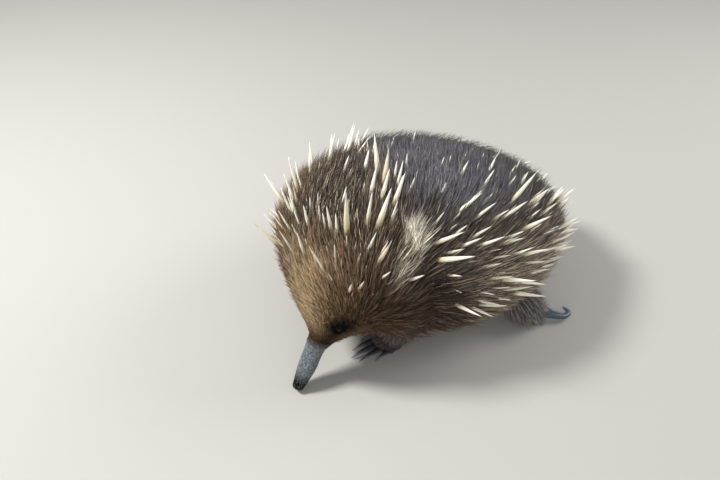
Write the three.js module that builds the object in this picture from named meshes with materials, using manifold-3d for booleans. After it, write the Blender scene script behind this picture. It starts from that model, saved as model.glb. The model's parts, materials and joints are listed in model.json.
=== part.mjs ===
// Short-beaked echidna with its head turned to its left and its beak to the ground, life size.
// Millimetres, +Z up, the animal faces -Y and its left side is +X.
import * as THREE from "three";
import Module from "manifold-3d";

const wasm = await Module();
wasm.setup();
const { Manifold, Mesh: SolidMesh } = wasm;

// Body outline at the tips of the coat, one row for each cross-section from the rump to the snout:
// centre x, y, z, pitch and yaw of the axis in degrees, half width, height above, height below,
// squareness of the underside, depth of the coat
const sections = [
  [0, 165, 63, 0, 0, 7, 7, 7, 2.2, 22],
  [0, 144, 68, 0, 0, 57, 45, 38, 2.6, 24],
  [3, 104, 74, 0, 0, 94, 64, 50, 3, 26],
  [5, 54, 78, 0, 0, 115, 83, 56, 3, 26],
  [7, 0, 80, 0, 4, 120, 94, 58, 3, 25],
  [14, -45, 80, 6, 10, 110, 95, 56, 3, 24],
  [28, -79, 78, 16, 18, 98, 88, 50, 2.6, 26],
  [51, -103, 76, 32, 22, 65, 62, 40, 2.3, 18],
  [78, -118, 58, 48, 29, 19.5, 26, 22, 2.2, 5],
  [81.4, -131.5, 42, 56, 29, 10.4, 10, 9.6, 2.2, 1],
  [88, -143.5, 22.4, 58, 29, 8.6, 7.8, 7.2, 2.1, 0],
  [94, -155, 5.6, 58, 29, 5.4, 4.8, 4.4, 2, 0],
];
const roundness = 2.2; // squareness of the upper half of each cross-section
const bellyCoat = 0.35; // share of the coat's depth on the underside
const coreShare = 0.5; // share of the coat's depth that stands outside the core, behind the face
const faceFrom = 6.6; // the short fur of the face begins here
const faceTo = 7.7;

// Spines: how deep the root sits, where the spine is widest and how far it bends
const spineSunk = 6;
const spineWidest = 0.38;
const spineBend = 1.2;
const spineVaries = { lift: 10, turn: 12 }; // random range of degrees

// How far the spines lean towards the ridge, and where the lean turns over to the other side, in degrees
const torsoLean = { most: 56, from: 0, to: 85, partFrom: 104, partTo: 134 };
const neckLean = { most: 30, from: -15, to: 45, partFrom: 75, partTo: 110 };
const leanChange = [4.8, 5.7]; // places between which the lean of the torso becomes that of the neck
const rumpLean = { share: 0.45, from: 1, to: 2.4 }; // share of the lean over the tail, and where it grows

// Locks: how deep the root sits, how they rise, the shortest share of their length beside a cut,
// and their share of length, width and thickness at each ring
const lockSunk = 3.5;
const lockRise = 0.8;
const lockShortest = 0.35;
const lockProfile = [
  [0, 0.55, 0.8],
  [0.35, 1, 1],
  [0.75, 0.75, 0.75],
];
const lockVaries = [-1, 5];
const vary = 0.24; // random share of length and width
const floorRoom = 1.5; // lowest height of the coat's tips
const limbRoom = 1.5; // room between the coat and a limb
const earRoom = 12; // room between the coat and the middle of an ear

// Where the coat grows: places along the body, angles round it, spacing and size
const rumpFan = [0.12, 0.93, 0.34]; // the way that the spines over the tail point
const torsoSpines = [
  { from: 0.1, to: 1.25, low: -6, high: 186, spacing: 18.5, length: 44, width: 4.4, lift: 38 },
  { from: 1.3, to: 4.8, low: 62, high: 122, spacing: 26, length: 33, width: 4.2, lift: 58 },
  { from: 1.3, to: 3.7, low: -12, high: 60, spacing: 26, length: 44, width: 4.6, lift: 34 },
  { from: 1.3, to: 3.7, low: 124, high: 192, spacing: 26, length: 44, width: 4.6, lift: 34 },
  { from: 3.7, to: 4.7, low: 16, high: 60, spacing: 25, length: 42, width: 4.4, lift: 34 },
  { from: 3.7, to: 4.7, low: 124, high: 164, spacing: 25, length: 42, width: 4.4, lift: 34 },
];
const neckSpines = [
  { from: 5.2, to: 6.3, low: 20, high: 160, spacing: 19, length: 46, width: 4.4, lift: 50 },
  { from: 6.3, to: 6.9, low: 30, high: 150, spacing: 18.5, length: 34, width: 3.8, lift: 44 },
];
const torsoLocks = [
  { from: 0.5, to: 4.9, low: -50, high: 230, spacing: 33, length: 60, width: 33, thick: 4, droop: 14 },
];
const neckLocks = [
  { from: 5.3, to: 6.92, low: -45, high: 225, spacing: 24, length: 46, width: 25, thick: 3.4, droop: 12 },
];
const cutRoom = 0.03; // how far locks stop from a cut, as a place along the rows

// Where the body is parted, as places along the rows above
const neckCut = 5;
const headCut = 7;
const beakCut = 9;
const gap = 0.3;

// The crease on the left, where the bent neck meets the shoulder
const crease = { at: 5, spread: 0.3, side: 12, width: 42, depth: 7 };

// Tail, a bare stub under the fan of spines
const tail = { from: [0, 138, 42], to: [2, 173, 34], root: 17, tip: 5 };

// Eye, its lids and the ear, on the side of the head
const eye = { at: 7.65, side: 34, radius: 4.5, depth: 3.6, lid: 6.2, slit: [4, 2.5] };
const ear = { at: 7.2, side: 12, height: 9, width: 3.8, proud: 3.4, wall: 1.2 };

// Beak: nostrils, mouth and lips near its tip
const snout = { dome: 3.4, nostril: [1.5, 0.9, 1.1], nostrilBack: 3.2, nostrilSide: 2.4, nostrilRise: 4.8 };
const mouth = { back: 12, drop: 1.1, slot: 0.7, lip: 0.8, slotReach: 8 };
const domeAngles = [35, 68];
// Middle of the lips: distance back from the tip's last row and distance to the side
const lipPoints = [
  [12, 5.9],
  [6, 5.5],
  [0, 5],
  [-2.7, 2.7],
];

// Limbs: shoulder or hip, ankle, centre and size of the paw, and its heading in degrees
const soleCut = 22;
const limbTaper = [1.35, 0.72]; // radius at the hip and at the ankle, as a share of the paw's half width
const foreLimb = {
  hip: [62, -30, 52],
  knee: [74, -44, 30],
  paw: [72, -52, 9],
  heading: 8,
  size: [17, 20, 13],
};
const hindLimb = {
  hip: [66, 78, 50],
  knee: [84, 90, 30],
  paw: [87, 100, 8],
  heading: 158,
  size: [14, 19, 12],
};
const rightFore = { x: -4, y: 6 }; // the right fore paw is set a little further back
const rightHind = { x: 6, y: -4 };

// Claws: length, width and height at the root, from the inner toe to the outer one
const foreClaws = [
  [17, 5, 4],
  [25, 6.6, 4.4],
  [28, 7.2, 4.6],
  [25, 6.6, 4.4],
  [16, 5, 4],
];
const hindClaws = [
  [12, 5, 4],
  [46, 6.4, 5.2],
  [30, 5.4, 4.6],
  [17, 4.8, 4.2],
  [12, 4.4, 4],
];
const foreToes = { hook: -1, spread: 3 }; // which claw is bent round, if any, and degrees between claws
const hindToes = { hook: 1, spread: 5 };
const clawSunk = 4; // how far behind the paw's edge a claw begins
const clawRow = 0.76; // share of the paw's width that the claws stand on
const clawShape = { squared: 2.2, blunt: 0.12 }; // how late it tapers and how thick its point is
// The long grooming claw: forward, sideways and up
const hookedPath = [
  [0, 0, 8.5],
  [14, 0, 8],
  [27, 2, 6],
  [32, 9, 5],
  [24, 17, 5],
];

// Colours of the real surfaces
const darkFur = 0x3a3029;
const tanFur = 0x7a664b;
const slate = 0x33363c;
const horn = 0x4a5560;
const eyeBrown = 0x14100d;
const earSkin = 0x4d3f35;

const degrees = Math.PI / 180;
const upward = new THREE.Vector3(0, 0, 1);

function mix(a, b, t) {
  return a + (b - a) * t;
}

function smooth(from, to, x) {
  const t = Math.min(Math.max((x - from) / (to - from), 0), 1);
  return t * t * (3 - 2 * t);
}

// Seeded random numbers between 0 and 1
function randomSource(seed) {
  let state = seed;
  return () => {
    state = (state + 0x6d2b79f5) | 0;
    let t = Math.imul(state ^ (state >>> 15), 1 | state);
    t = (t + Math.imul(t ^ (t >>> 7), 61 | t)) ^ t;
    return ((t ^ (t >>> 14)) >>> 0) / 4294967296;
  };
}

// A closed solid from rings of points that run along its axis, with a fan at each end
function solid(rings, tip) {
  const sides = rings[0].length;
  const points = rings.flat();
  const centres = [rings[0], rings[rings.length - 1]].map((ring) => {
    const sum = ring.reduce((total, point) => total.add(point), new THREE.Vector3());
    return sum.divideScalar(sides);
  });
  if (tip) {
    centres[1] = tip;
  }
  const triangles = [];
  const startFan = points.length;
  const last = (rings.length - 1) * sides;
  for (let j = 0; j < sides; j += 1) {
    const next = (j + 1) % sides;
    for (let i = 0; i < rings.length - 1; i += 1) {
      const low = i * sides;
      const high = low + sides;
      triangles.push(low + j, low + next, high + j);
      triangles.push(low + next, high + next, high + j);
    }
    triangles.push(startFan, next, j);
    triangles.push(startFan + 1, last + j, last + next);
  }
  const vertProperties = new Float32Array([...points, ...centres].flatMap((point) => point.toArray()));
  return new Manifold(new SolidMesh({ numProp: 3, vertProperties, triVerts: new Uint32Array(triangles) }));
}

// A closed solid that follows a path, where size(t) gives its half width and half height at t
function tube(path, sides, steps, size, hint = upward) {
  const curve = new THREE.CatmullRomCurve3(path);
  const rings = [];
  for (let i = 0; i <= steps; i += 1) {
    const t = i / steps;
    const centre = curve.getPoint(t);
    const forward = curve.getTangent(t);
    const lift = hint.clone().addScaledVector(forward, -hint.dot(forward)).normalize();
    const left = lift.clone().cross(forward);
    const [half, high] = size(t);
    rings.push(
      Array.from({ length: sides }, (_, j) => {
        const angle = (2 * Math.PI * j) / sides;
        return centre
          .clone()
          .addScaledVector(left, half * Math.cos(angle))
          .addScaledVector(lift, high * Math.sin(angle));
      }),
    );
  }
  return solid(rings);
}

// An ellipsoid whose radii lie along the axes of a turn
function ball(centre, radii, turn, around = 16, down = 10) {
  const rings = [];
  for (let i = 1; i < down; i += 1) {
    const polar = Math.PI * (1 - i / down);
    rings.push(
      Array.from({ length: around }, (_, j) => {
        const angle = (2 * Math.PI * j) / around;
        const flat = Math.sin(polar);
        return new THREE.Vector3(
          radii[0] * flat * Math.cos(angle),
          radii[1] * flat * Math.sin(angle),
          radii[2] * Math.cos(polar),
        )
          .applyQuaternion(turn)
          .add(centre);
      }),
    );
  }
  return solid(rings);
}

// A box between two heights, wide enough for the whole animal
function slab(low, high) {
  const reach = 400;
  const corners = [
    [-reach, -reach],
    [reach, -reach],
    [reach, reach],
    [-reach, reach],
  ];
  return solid([low, high].map((z) => corners.map(([x, y]) => new THREE.Vector3(x, y, z))));
}

// The largest closed surface of a solid, with any hollow in it filled
function largest(shape) {
  const parts = shape.decompose();
  return parts.reduce((best, part) => (part.volume() > best.volume() ? part : best));
}

// One cross-section between the rows, by a smooth curve through them
function sectionAt(place) {
  const count = sections.length;
  const index = Math.min(Math.max(Math.floor(place), 0), count - 2);
  const t = place - index;
  const row = (k) => sections[Math.min(Math.max(index + k, 0), count - 1)];
  const values = sections[0].map((_, k) => {
    const [a, b, c, d] = [row(-1)[k], row(0)[k], row(1)[k], row(2)[k]];
    const square = 2 * a - 5 * b + 4 * c - d;
    const cube = 3 * b - a - 3 * c + d;
    return 0.5 * (2 * b + (c - a) * t + square * t * t + cube * t ** 3);
  });
  const [x, y, z, pitch, yaw, half, above, below, belly, coat] = values;
  const level = Math.cos(pitch * degrees);
  const front = new THREE.Vector3(
    Math.sin(yaw * degrees) * level,
    -Math.cos(yaw * degrees) * level,
    -Math.sin(pitch * degrees),
  );
  const left = new THREE.Vector3(Math.cos(yaw * degrees), Math.sin(yaw * degrees), 0);
  const top = front.clone().cross(left);
  return { centre: new THREE.Vector3(x, y, z), front, left, top, half, above, below, belly, coat };
}

// Depth of the coat at a place and an angle, which is 0 on the left side and 90 degrees on top
function coatDepth(place, angle) {
  const { coat } = sectionAt(place);
  const under = smooth(0, 1, -Math.sin(angle));
  return coat * mix(1, bellyCoat, under);
}

// How deep the core lies under the coat's tips
function coreDepth(place, angle) {
  return coreShare * (1 - smooth(faceFrom, faceTo, place)) * coatDepth(place, angle);
}

// How far the crease pulls the outline in
function creaseDepth(place, angle) {
  const turn = Math.atan2(Math.sin(angle - crease.side * degrees), Math.cos(angle - crease.side * degrees));
  const along = (place - crease.at) / crease.spread;
  const round = turn / (crease.width * degrees);
  return crease.depth * Math.exp(-along * along - round * round);
}

// A point of the body, out being its distance outside the core
function bodyPoint(place, angle, out = 0) {
  const cut = sectionAt(place);
  const inset = coreDepth(place, angle) + creaseDepth(place, angle) - out;
  const ending = 1 - smooth(0, 1.2, place);
  const across = Math.cos(angle);
  const rise = Math.sin(angle);
  const square = rise < 0 ? cut.belly : roundness;
  const high = rise < 0 ? cut.below : cut.above;
  const wide = Math.sign(across) * Math.abs(across) ** (2 / square);
  const tall = Math.sign(rise) * Math.abs(rise) ** (2 / square);
  return cut.centre
    .clone()
    .addScaledVector(cut.front, inset * ending)
    .addScaledVector(cut.left, Math.max(cut.half - inset, cut.half * 0.3) * wide)
    .addScaledVector(cut.top, Math.max(high - inset, high * 0.3) * tall);
}

// A ring of the body, moved along the axis to leave a gap at a cut
function bodyRing(place, sides, out = 0, shift = 0) {
  const { front } = sectionAt(place);
  return Array.from({ length: sides }, (_, j) => {
    const angle = (2 * Math.PI * j) / sides;
    return bodyPoint(place, angle, out).addScaledVector(front, shift);
  });
}

function bodyLength(from, to, steps, sides, out = 0, shift = 0) {
  const rings = [];
  for (let i = 0; i <= steps; i += 1) {
    rings.push(bodyRing(mix(from, to, i / steps), sides, out, i === 0 ? shift : 0));
  }
  return rings;
}

// Directions on the body: outward, backward along it and sideways round it, with millimetres per step
function directions(place, angle) {
  const step = 0.02;
  const here = bodyPoint(place, angle);
  const back = bodyPoint(place - step, angle).sub(here);
  const round = bodyPoint(place, angle + step).sub(here);
  const perPlace = back.length() / step;
  const perAngle = round.length() / step;
  back.normalize();
  round.normalize();
  const outward = round.clone().cross(back).negate().normalize();
  return { back, round, outward, perPlace, perAngle };
}

// The limbs as balls that the coat keeps clear of
const limbBalls = [];

function clearOfLimbs(points, room) {
  const clear = (point) => limbBalls.every((limb) => point.distanceTo(limb.centre) > limb.radius + room);
  return points.every(clear);
}

// Distance in front of a cut through the body
function aheadOf(place, point) {
  const { centre, front } = sectionAt(place);
  return point.clone().sub(centre).dot(front);
}

// Places along the flank, evenly spaced from the front end of an area to its back end
function rowsAlong(from, to, spacing) {
  const places = [];
  const step = 0.02;
  let travelled = spacing;
  for (let place = to; place > from; place -= step) {
    if (travelled >= spacing) {
      places.push(place);
      travelled -= spacing;
    }
    travelled += directions(place, 0.9).perPlace * step;
  }
  return places;
}

// Angles round one cross-section, evenly spaced and staggered from row to row
function anglesRound(place, from, to, spacing, offset) {
  const angles = [];
  const step = 0.03;
  let travelled = spacing * offset;
  for (let angle = from; angle < to; angle += step) {
    if (travelled >= spacing) {
      angles.push(angle);
      travelled -= spacing;
    }
    travelled += directions(place, angle).perAngle * step;
  }
  return angles;
}

// Places and angles spread evenly over part of the coat, each moved a little at random
function spots({ from, to, low, high, spacing, random }) {
  return rowsAlong(from, to, spacing).flatMap((place, row) =>
    anglesRound(place, low * degrees, high * degrees, spacing, row % 2 ? 0.9 : 0.4).map((angle) => {
      const { perPlace, perAngle } = directions(place, angle);
      const moved = place + ((random() - 0.5) * spacing * 0.5) / perPlace;
      return {
        place: Math.min(Math.max(moved, from), to),
        angle: angle + ((random() - 0.5) * spacing * 0.5) / perAngle,
      };
    }),
  );
}

// How far a spine leans towards the ridge at an angle round one part of the body
function leanOver({ most, from, to, partFrom, partTo }, angle) {
  const left = most * smooth(from, to, angle);
  const right = -most * smooth(from, to, 180 - angle);
  return mix(left, right, smooth(partFrom, partTo, angle));
}

function leanAt({ place, angle }) {
  const rump = mix(rumpLean.share, 1, smooth(rumpLean.from, rumpLean.to, place));
  const torso = rump * leanOver(torsoLean, angle / degrees);
  return mix(torso, leanOver(neckLean, angle / degrees), smooth(...leanChange, place));
}

// A spine: three sides, widest a third of the way up, slightly bent, its root sunk in the core
function spine({ place, angle }, { length, width, lift, turn }) {
  const { back, round, outward } = directions(place, angle);
  const along = back
    .clone()
    .multiplyScalar(Math.cos(turn * degrees))
    .addScaledVector(round, Math.sin(turn * degrees));
  const fan = 1 - smooth(0.3, 1.5, place);
  along.lerp(new THREE.Vector3(...rumpFan), fan * 0.6).normalize();
  const direction = along
    .multiplyScalar(Math.cos(lift * degrees))
    .addScaledVector(outward, Math.sin(lift * degrees))
    .normalize();
  const root = bodyPoint(place, angle, -spineSunk);
  const left = outward.clone().cross(direction).normalize();
  const top = direction.clone().cross(left).normalize();
  const ring = (share, half, bend) => {
    const centre = root
      .clone()
      .addScaledVector(direction, length * share)
      .addScaledVector(top, bend);
    return [90, 210, 330].map((corner) =>
      centre
        .clone()
        .addScaledVector(left, half * Math.cos(corner * degrees))
        .addScaledVector(top, half * Math.sin(corner * degrees)),
    );
  };
  const rings = [ring(0, width * 0.3, 0), ring(spineWidest, width / 2, spineBend)];
  const tip = root.clone().addScaledVector(direction, length);
  return { shape: solid(rings, tip), samples: [rings[1][0], tip, root.clone().lerp(tip, 0.7)] };
}

// A lock: a flat blade with a ridge that leaves the core, bends and lies back over the next ones
function lock({ place, angle }, { length, width, thick, droop, curl, limit }, random) {
  const start = directions(place, angle);
  const sideways = -Math.cos(angle) * Math.sin(droop * degrees) + curl;
  const stretch = Math.min(1, ((place - limit) * start.perPlace) / length);
  const reach = length * Math.max(stretch, lockShortest);
  const tipPlace = Math.max(place - reach / start.perPlace, limit);
  const tipOut = coreDepth(tipPlace, angle) + mix(...lockVaries, random());
  const at = (share) => {
    const spot = Math.max(place - (reach * share) / start.perPlace, limit);
    const turned = angle + (reach * sideways * share * share) / start.perAngle;
    const out = mix(-lockSunk, tipOut, share ** lockRise);
    return { spot, turned, point: bodyPoint(spot, turned, out) };
  };
  const ring = (share, wide, tall) => {
    const { spot, turned, point } = at(share);
    const { round, outward } = directions(Math.max(spot, 0.1), turned);
    return [
      point.clone().addScaledVector(round, (-width * wide) / 2),
      point.clone().addScaledVector(round, (width * wide) / 2),
      point.clone().addScaledVector(outward, thick * tall),
    ];
  };
  const rings = lockProfile.map(([share, wide, tall]) => ring(share, wide, tall));
  const tip = at(1).point;
  return { shape: solid(rings, tip), samples: [...rings.flat(), tip] };
}

const group = new THREE.Group();

function addMesh(name, shape, colour, roughness = 0.9) {
  const { vertProperties, triVerts, numProp } = shape.getMesh();
  const count = vertProperties.length / numProp;
  const position = new Float32Array(count * 3);
  for (let i = 0; i < count; i += 1) {
    position.set(vertProperties.subarray(i * numProp, i * numProp + 3), i * 3);
  }
  const geometry = new THREE.BufferGeometry();
  geometry.setAttribute("position", new THREE.BufferAttribute(position, 3));
  geometry.setIndex(Array.from(triVerts));
  geometry.computeVertexNormals();
  const material = new THREE.MeshStandardMaterial({ color: colour, roughness, metalness: 0 });
  const mesh = new THREE.Mesh(geometry, material);
  mesh.name = name;
  group.add(mesh);
}

// Shapes of the body's flesh, each between two cuts
const bodySides = 22;
const headSides = 24;
const torsoSteps = 12;
const neckSteps = 6;
const headSteps = 8;
const torsoRings = bodyLength(0, neckCut, torsoSteps, bodySides);
const neckRings = bodyLength(neckCut, headCut, neckSteps, bodySides, 0, gap);
const headRings = bodyLength(headCut, beakCut, headSteps, headSides, 0, gap);
const roomRound = (from, to, steps, sides) => solid(bodyLength(from, to, steps, sides, gap, 0));
const torsoRoom = roomRound(0, neckCut, torsoSteps, bodySides);
const headRoom = roomRound(headCut, beakCut, headSteps, headSides);
const bodyRoom = torsoRoom.add(roomRound(neckCut, headCut, neckSteps, bodySides));
const above = slab(0, 300);

// A limb: a tube from the hip through the knee to a flat-soled paw
function limb(side, { hip, knee, paw, heading, size }, moved) {
  const place = ([x, y, z]) => {
    const middle = mix(0, 12, smooth(60, -45, y));
    if (side > 0) {
      return new THREE.Vector3(x, y, z);
    }
    return new THREE.Vector3(2 * middle - x + moved.x, y + moved.y, z);
  };
  const [top, joint, foot] = [hip, knee, paw].map(place);
  const turn = new THREE.Quaternion().setFromAxisAngle(upward, side * heading * degrees);
  const radiusAt = (t) => size[0] * mix(...limbTaper, t);
  const bone = tube([top, joint, foot], 10, 3, (t) => [radiusAt(t), radiusAt(t)], new THREE.Vector3(0, 1, 0));
  const pad = ball(foot, size, turn, 12, 8);
  limbBalls.push(
    { centre: top.clone().lerp(joint, 0.5), radius: radiusAt(0.25) },
    { centre: joint, radius: radiusAt(0.5) },
    { centre: foot, radius: size[1] },
  );
  return { whole: bone.add(pad).intersect(above), foot, turn, size, side };
}

// The claws of one paw, side by side along its front edge
function claws(name, paw, list, { hook, spread }) {
  const { foot, turn, size, side } = paw;
  const room = ball(foot, size.map((radius) => radius + gap), turn, 12, 8);
  const pitch = (2 * size[0] * clawRow) / (list.length - 1);
  list.forEach(([length, width, height], index) => {
    const across = side * (index - 2) * pitch;
    const fan = side * (index - 2) * spread * degrees;
    const edge = size[1] * Math.sqrt(1 - (across / size[0]) ** 2);
    const local = (forward, sideways, up) =>
      new THREE.Vector3(
        across + side * sideways + forward * Math.sin(fan),
        clawSunk - edge - forward * Math.cos(fan),
        up,
      )
        .applyQuaternion(turn)
        .add(new THREE.Vector3(foot.x, foot.y, 0));
    const curved = index === hook;
    const straight = [
      [0, 0, 6.5],
      [length / 2, 0, 6],
      [length, 0, height / 4 + 1],
    ];
    const path = (curved ? hookedPath : straight).map((point) => local(...point));
    const shape = tube(path, 5, curved ? 9 : 3, (t) => {
      const taper = Math.max(1 - t ** clawShape.squared, clawShape.blunt);
      return [(width / 2) * taper, (height / 2) * taper];
    });
    addMesh(`${name}_${index + 1}`, largest(shape.subtract(room)), horn, 0.35);
  });
}

const paws = [];
[
  ["left", 1],
  ["right", -1],
].forEach(([name, side]) => {
  paws.push({ name, kind: "fore", paw: limb(side, foreLimb, rightFore) });
  paws.push({ name, kind: "hind", paw: limb(side, hindLimb, rightHind) });
});
paws.forEach(({ name, kind, paw }) => {
  const outside = paw.whole.subtract(bodyRoom);
  const foot = outside.intersect(slab(-1, soleCut - gap / 2));
  const leg = outside.intersect(slab(soleCut + gap / 2, 200));
  addMesh(`${kind}foot_${name}`, largest(foot), darkFur);
  addMesh(`${kind}leg_${name}`, largest(leg), darkFur);
  const fore = kind === "fore";
  claws(`claw_${kind}_${name}`, paw, fore ? foreClaws : hindClaws, fore ? foreToes : hindToes);
});

// Directions on the head at one eye or ear, with the axes of a turn: along, round and outward
function headSpot(place, sideAngle, side) {
  const angle = side > 0 ? sideAngle * degrees : Math.PI - sideAngle * degrees;
  const { back, outward } = directions(place, angle);
  const along = back.clone().negate();
  const across = outward.clone().cross(along).normalize();
  const axes = new THREE.Matrix4().makeBasis(along, across, outward);
  const turn = new THREE.Quaternion().setFromRotationMatrix(axes);
  return { surface: bodyPoint(place, angle), outward, along, turn };
}

let head = solid(headRings);
const earSpots = [];
[
  ["left", 1],
  ["right", -1],
].forEach(([name, side]) => {
  const spot = headSpot(eye.at, eye.side, side);
  const centre = spot.surface.clone().addScaledVector(spot.outward, -eye.depth);
  const [wide, tall] = eye.slit;
  const round = (radius) => ball(centre, [radius, radius, radius], spot.turn, 12, 8);
  const front = centre.clone().addScaledVector(spot.outward, eye.lid);
  const opening = ball(front, [wide, tall, eye.lid], spot.turn, 12, 8);
  head = head.add(round(eye.lid)).subtract(round(eye.radius + gap)).subtract(opening);
  addMesh(`eye_${name}`, round(eye.radius), eyeBrown, 0.1);

  const lobe = headSpot(ear.at, ear.side, side);
  const root = lobe.surface.clone().addScaledVector(lobe.outward, ear.proud / 2);
  const shell = ball(root, [ear.width, ear.height, ear.proud], lobe.turn, 10, 6);
  const inner = [ear.width, ear.height, ear.proud].map((size) => size - ear.wall);
  const hollowCentre = root
    .clone()
    .addScaledVector(lobe.outward, ear.wall * 1.6)
    .addScaledVector(lobe.along, ear.wall * 0.6);
  const cup = shell.subtract(ball(hollowCentre, inner, lobe.turn, 10, 6)).subtract(headRoom);
  addMesh(`ear_${name}`, largest(cup), earSkin);
  earSpots.push(root);
});

// Every spine and lock of a node that is clear of the floor, the limbs, the ears and the cut in front
function coat({ spines: spineAreas, locks: lockAreas, from, to, seed }) {
  const random = randomSource(seed);
  const free = (samples) =>
    samples.every(
      (point) =>
        point.z > floorRoom &&
        (from === 0 || aheadOf(from, point) > gap) &&
        aheadOf(to, point) < -gap / 3 &&
        earSpots.every((root) => point.distanceTo(root) > earRoom),
    ) && clearOfLimbs(samples, limbRoom);
  const varied = (size) => size * (1 + (random() - 0.5) * vary);
  const spines = spineAreas.flatMap((area) =>
    spots({ ...area, random }).map((spot) =>
      spine(spot, {
        length: varied(area.length),
        width: varied(area.width),
        lift: area.lift + (random() - 0.5) * spineVaries.lift,
        turn: leanAt(spot) + (random() - 0.5) * spineVaries.turn,
      }),
    ),
  );
  const locks = lockAreas.flatMap((area) =>
    spots({ ...area, random }).map((spot) =>
      lock(
        spot,
        {
          length: varied(area.length),
          width: varied(area.width),
          thick: area.thick,
          droop: area.droop,
          curl: (random() - 0.5) * 0.3,
          limit: from + cutRoom,
        },
        random,
      ),
    ),
  );
  return [...spines, ...locks].filter(({ samples }) => free(samples)).map(({ shape }) => shape);
}

// The tail, parted from the rump
const tailRange = [new THREE.Vector3(...tail.from), new THREE.Vector3(...tail.to)];
const tailPath = [tailRange[0], tailRange[0].clone().lerp(tailRange[1], 0.5), tailRange[1]];
const tailShape = tube(tailPath, 12, 3, (t) => {
  const radius = mix(tail.root, tail.tip, t ** 1.4);
  return [radius, radius * 0.8];
});
addMesh("tail", largest(tailShape.subtract(torsoRoom)), darkFur);
limbBalls.push({ centre: tailRange[0].clone().lerp(tailRange[1], 0.65), radius: tail.root * 0.8 });

// Beak: a tapering snout with a round tip, a mouth slit between lips and two nostrils
const tipSection = sectionAt(sections.length - 1);
const domeRings = domeAngles.map((angle) =>
  bodyRing(sections.length - 1, 20).map((point) =>
    tipSection.centre
      .clone()
      .lerp(point, Math.cos(angle * degrees))
      .addScaledVector(tipSection.front, snout.dome * Math.sin(angle * degrees)),
  ),
);
const snoutPoint = (back, side, rise) =>
  tipSection.centre
    .clone()
    .addScaledVector(tipSection.front, -back)
    .addScaledVector(tipSection.left, side)
    .addScaledVector(tipSection.top, rise);
let beak = solid([...bodyLength(beakCut, sections.length - 1, 7, 20, 0, gap), ...domeRings]);
const lipSide = (sign) => lipPoints.map(([back, side]) => snoutPoint(back, sign * side, -mouth.drop));
const lipPath = [...lipSide(1), snoutPoint(-snout.dome, 0, -mouth.drop), ...lipSide(-1).reverse()];
beak = beak.add(tube(lipPath, 4, 14, () => [mouth.lip, mouth.lip * 1.3], tipSection.top));
const slitCorners = [
  [-1, -1],
  [1, -1],
  [1, 1],
  [-1, 1],
];
const slit = solid(
  [mouth.back, -2 * snout.dome].map((back) =>
    slitCorners.map(([side, rise]) =>
      snoutPoint(back, side * mouth.slotReach, (rise * mouth.slot) / 2 - mouth.drop),
    ),
  ),
);
beak = beak.subtract(slit);
const snoutTurn = new THREE.Quaternion().setFromRotationMatrix(
  new THREE.Matrix4().makeBasis(tipSection.left, tipSection.front, tipSection.top),
);
[1, -1].forEach((side) => {
  const hole = snoutPoint(snout.nostrilBack, side * snout.nostrilSide, snout.nostrilRise);
  beak = beak.subtract(ball(hole, snout.nostril, snoutTurn, 10, 6));
});
addMesh("beak", largest(beak), slate, 0.3);

const joined = (core, pieces) => largest(Manifold.union([core, ...pieces]));

addMesh("head", largest(head), tanFur);
const neckCoat = coat({ spines: neckSpines, locks: neckLocks, from: neckCut, to: headCut, seed: 23 });
const torsoCoat = coat({ spines: torsoSpines, locks: torsoLocks, from: 0, to: neckCut, seed: 37 });
addMesh("neck", joined(solid(neckRings), neckCoat), tanFur);
addMesh("torso", joined(solid(torsoRings), torsoCoat), darkFur);

// The whole stands centred on its own box, with its soles at height 0
const box = new THREE.Box3().setFromObject(group);
const middle = box.getCenter(new THREE.Vector3());
group.position.set(-middle.x, -middle.y, 0);

export default group;
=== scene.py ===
import json
import math

import bpy
import numpy as np
from mathutils import Matrix, Vector
from mathutils.kdtree import KDTree

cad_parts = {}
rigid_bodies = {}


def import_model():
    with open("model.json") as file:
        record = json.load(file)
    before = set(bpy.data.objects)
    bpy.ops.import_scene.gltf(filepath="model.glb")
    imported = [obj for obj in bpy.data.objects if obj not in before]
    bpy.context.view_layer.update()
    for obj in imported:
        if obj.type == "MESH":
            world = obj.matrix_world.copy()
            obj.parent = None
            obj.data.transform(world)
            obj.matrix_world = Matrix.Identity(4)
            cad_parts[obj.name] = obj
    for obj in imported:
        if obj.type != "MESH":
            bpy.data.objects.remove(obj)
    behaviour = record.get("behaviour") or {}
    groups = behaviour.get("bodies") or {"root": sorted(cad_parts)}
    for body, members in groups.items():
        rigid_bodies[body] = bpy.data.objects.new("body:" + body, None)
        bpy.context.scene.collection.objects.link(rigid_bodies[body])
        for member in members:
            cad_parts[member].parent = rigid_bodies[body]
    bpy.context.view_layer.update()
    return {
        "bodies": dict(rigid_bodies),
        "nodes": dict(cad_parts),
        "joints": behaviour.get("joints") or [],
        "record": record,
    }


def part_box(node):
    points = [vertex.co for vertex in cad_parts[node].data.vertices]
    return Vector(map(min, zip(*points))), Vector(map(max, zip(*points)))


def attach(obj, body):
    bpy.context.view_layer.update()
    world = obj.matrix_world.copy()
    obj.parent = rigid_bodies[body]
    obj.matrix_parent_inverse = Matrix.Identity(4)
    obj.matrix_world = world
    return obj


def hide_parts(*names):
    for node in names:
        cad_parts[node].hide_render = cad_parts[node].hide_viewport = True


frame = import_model()
print("frame loaded")

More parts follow.
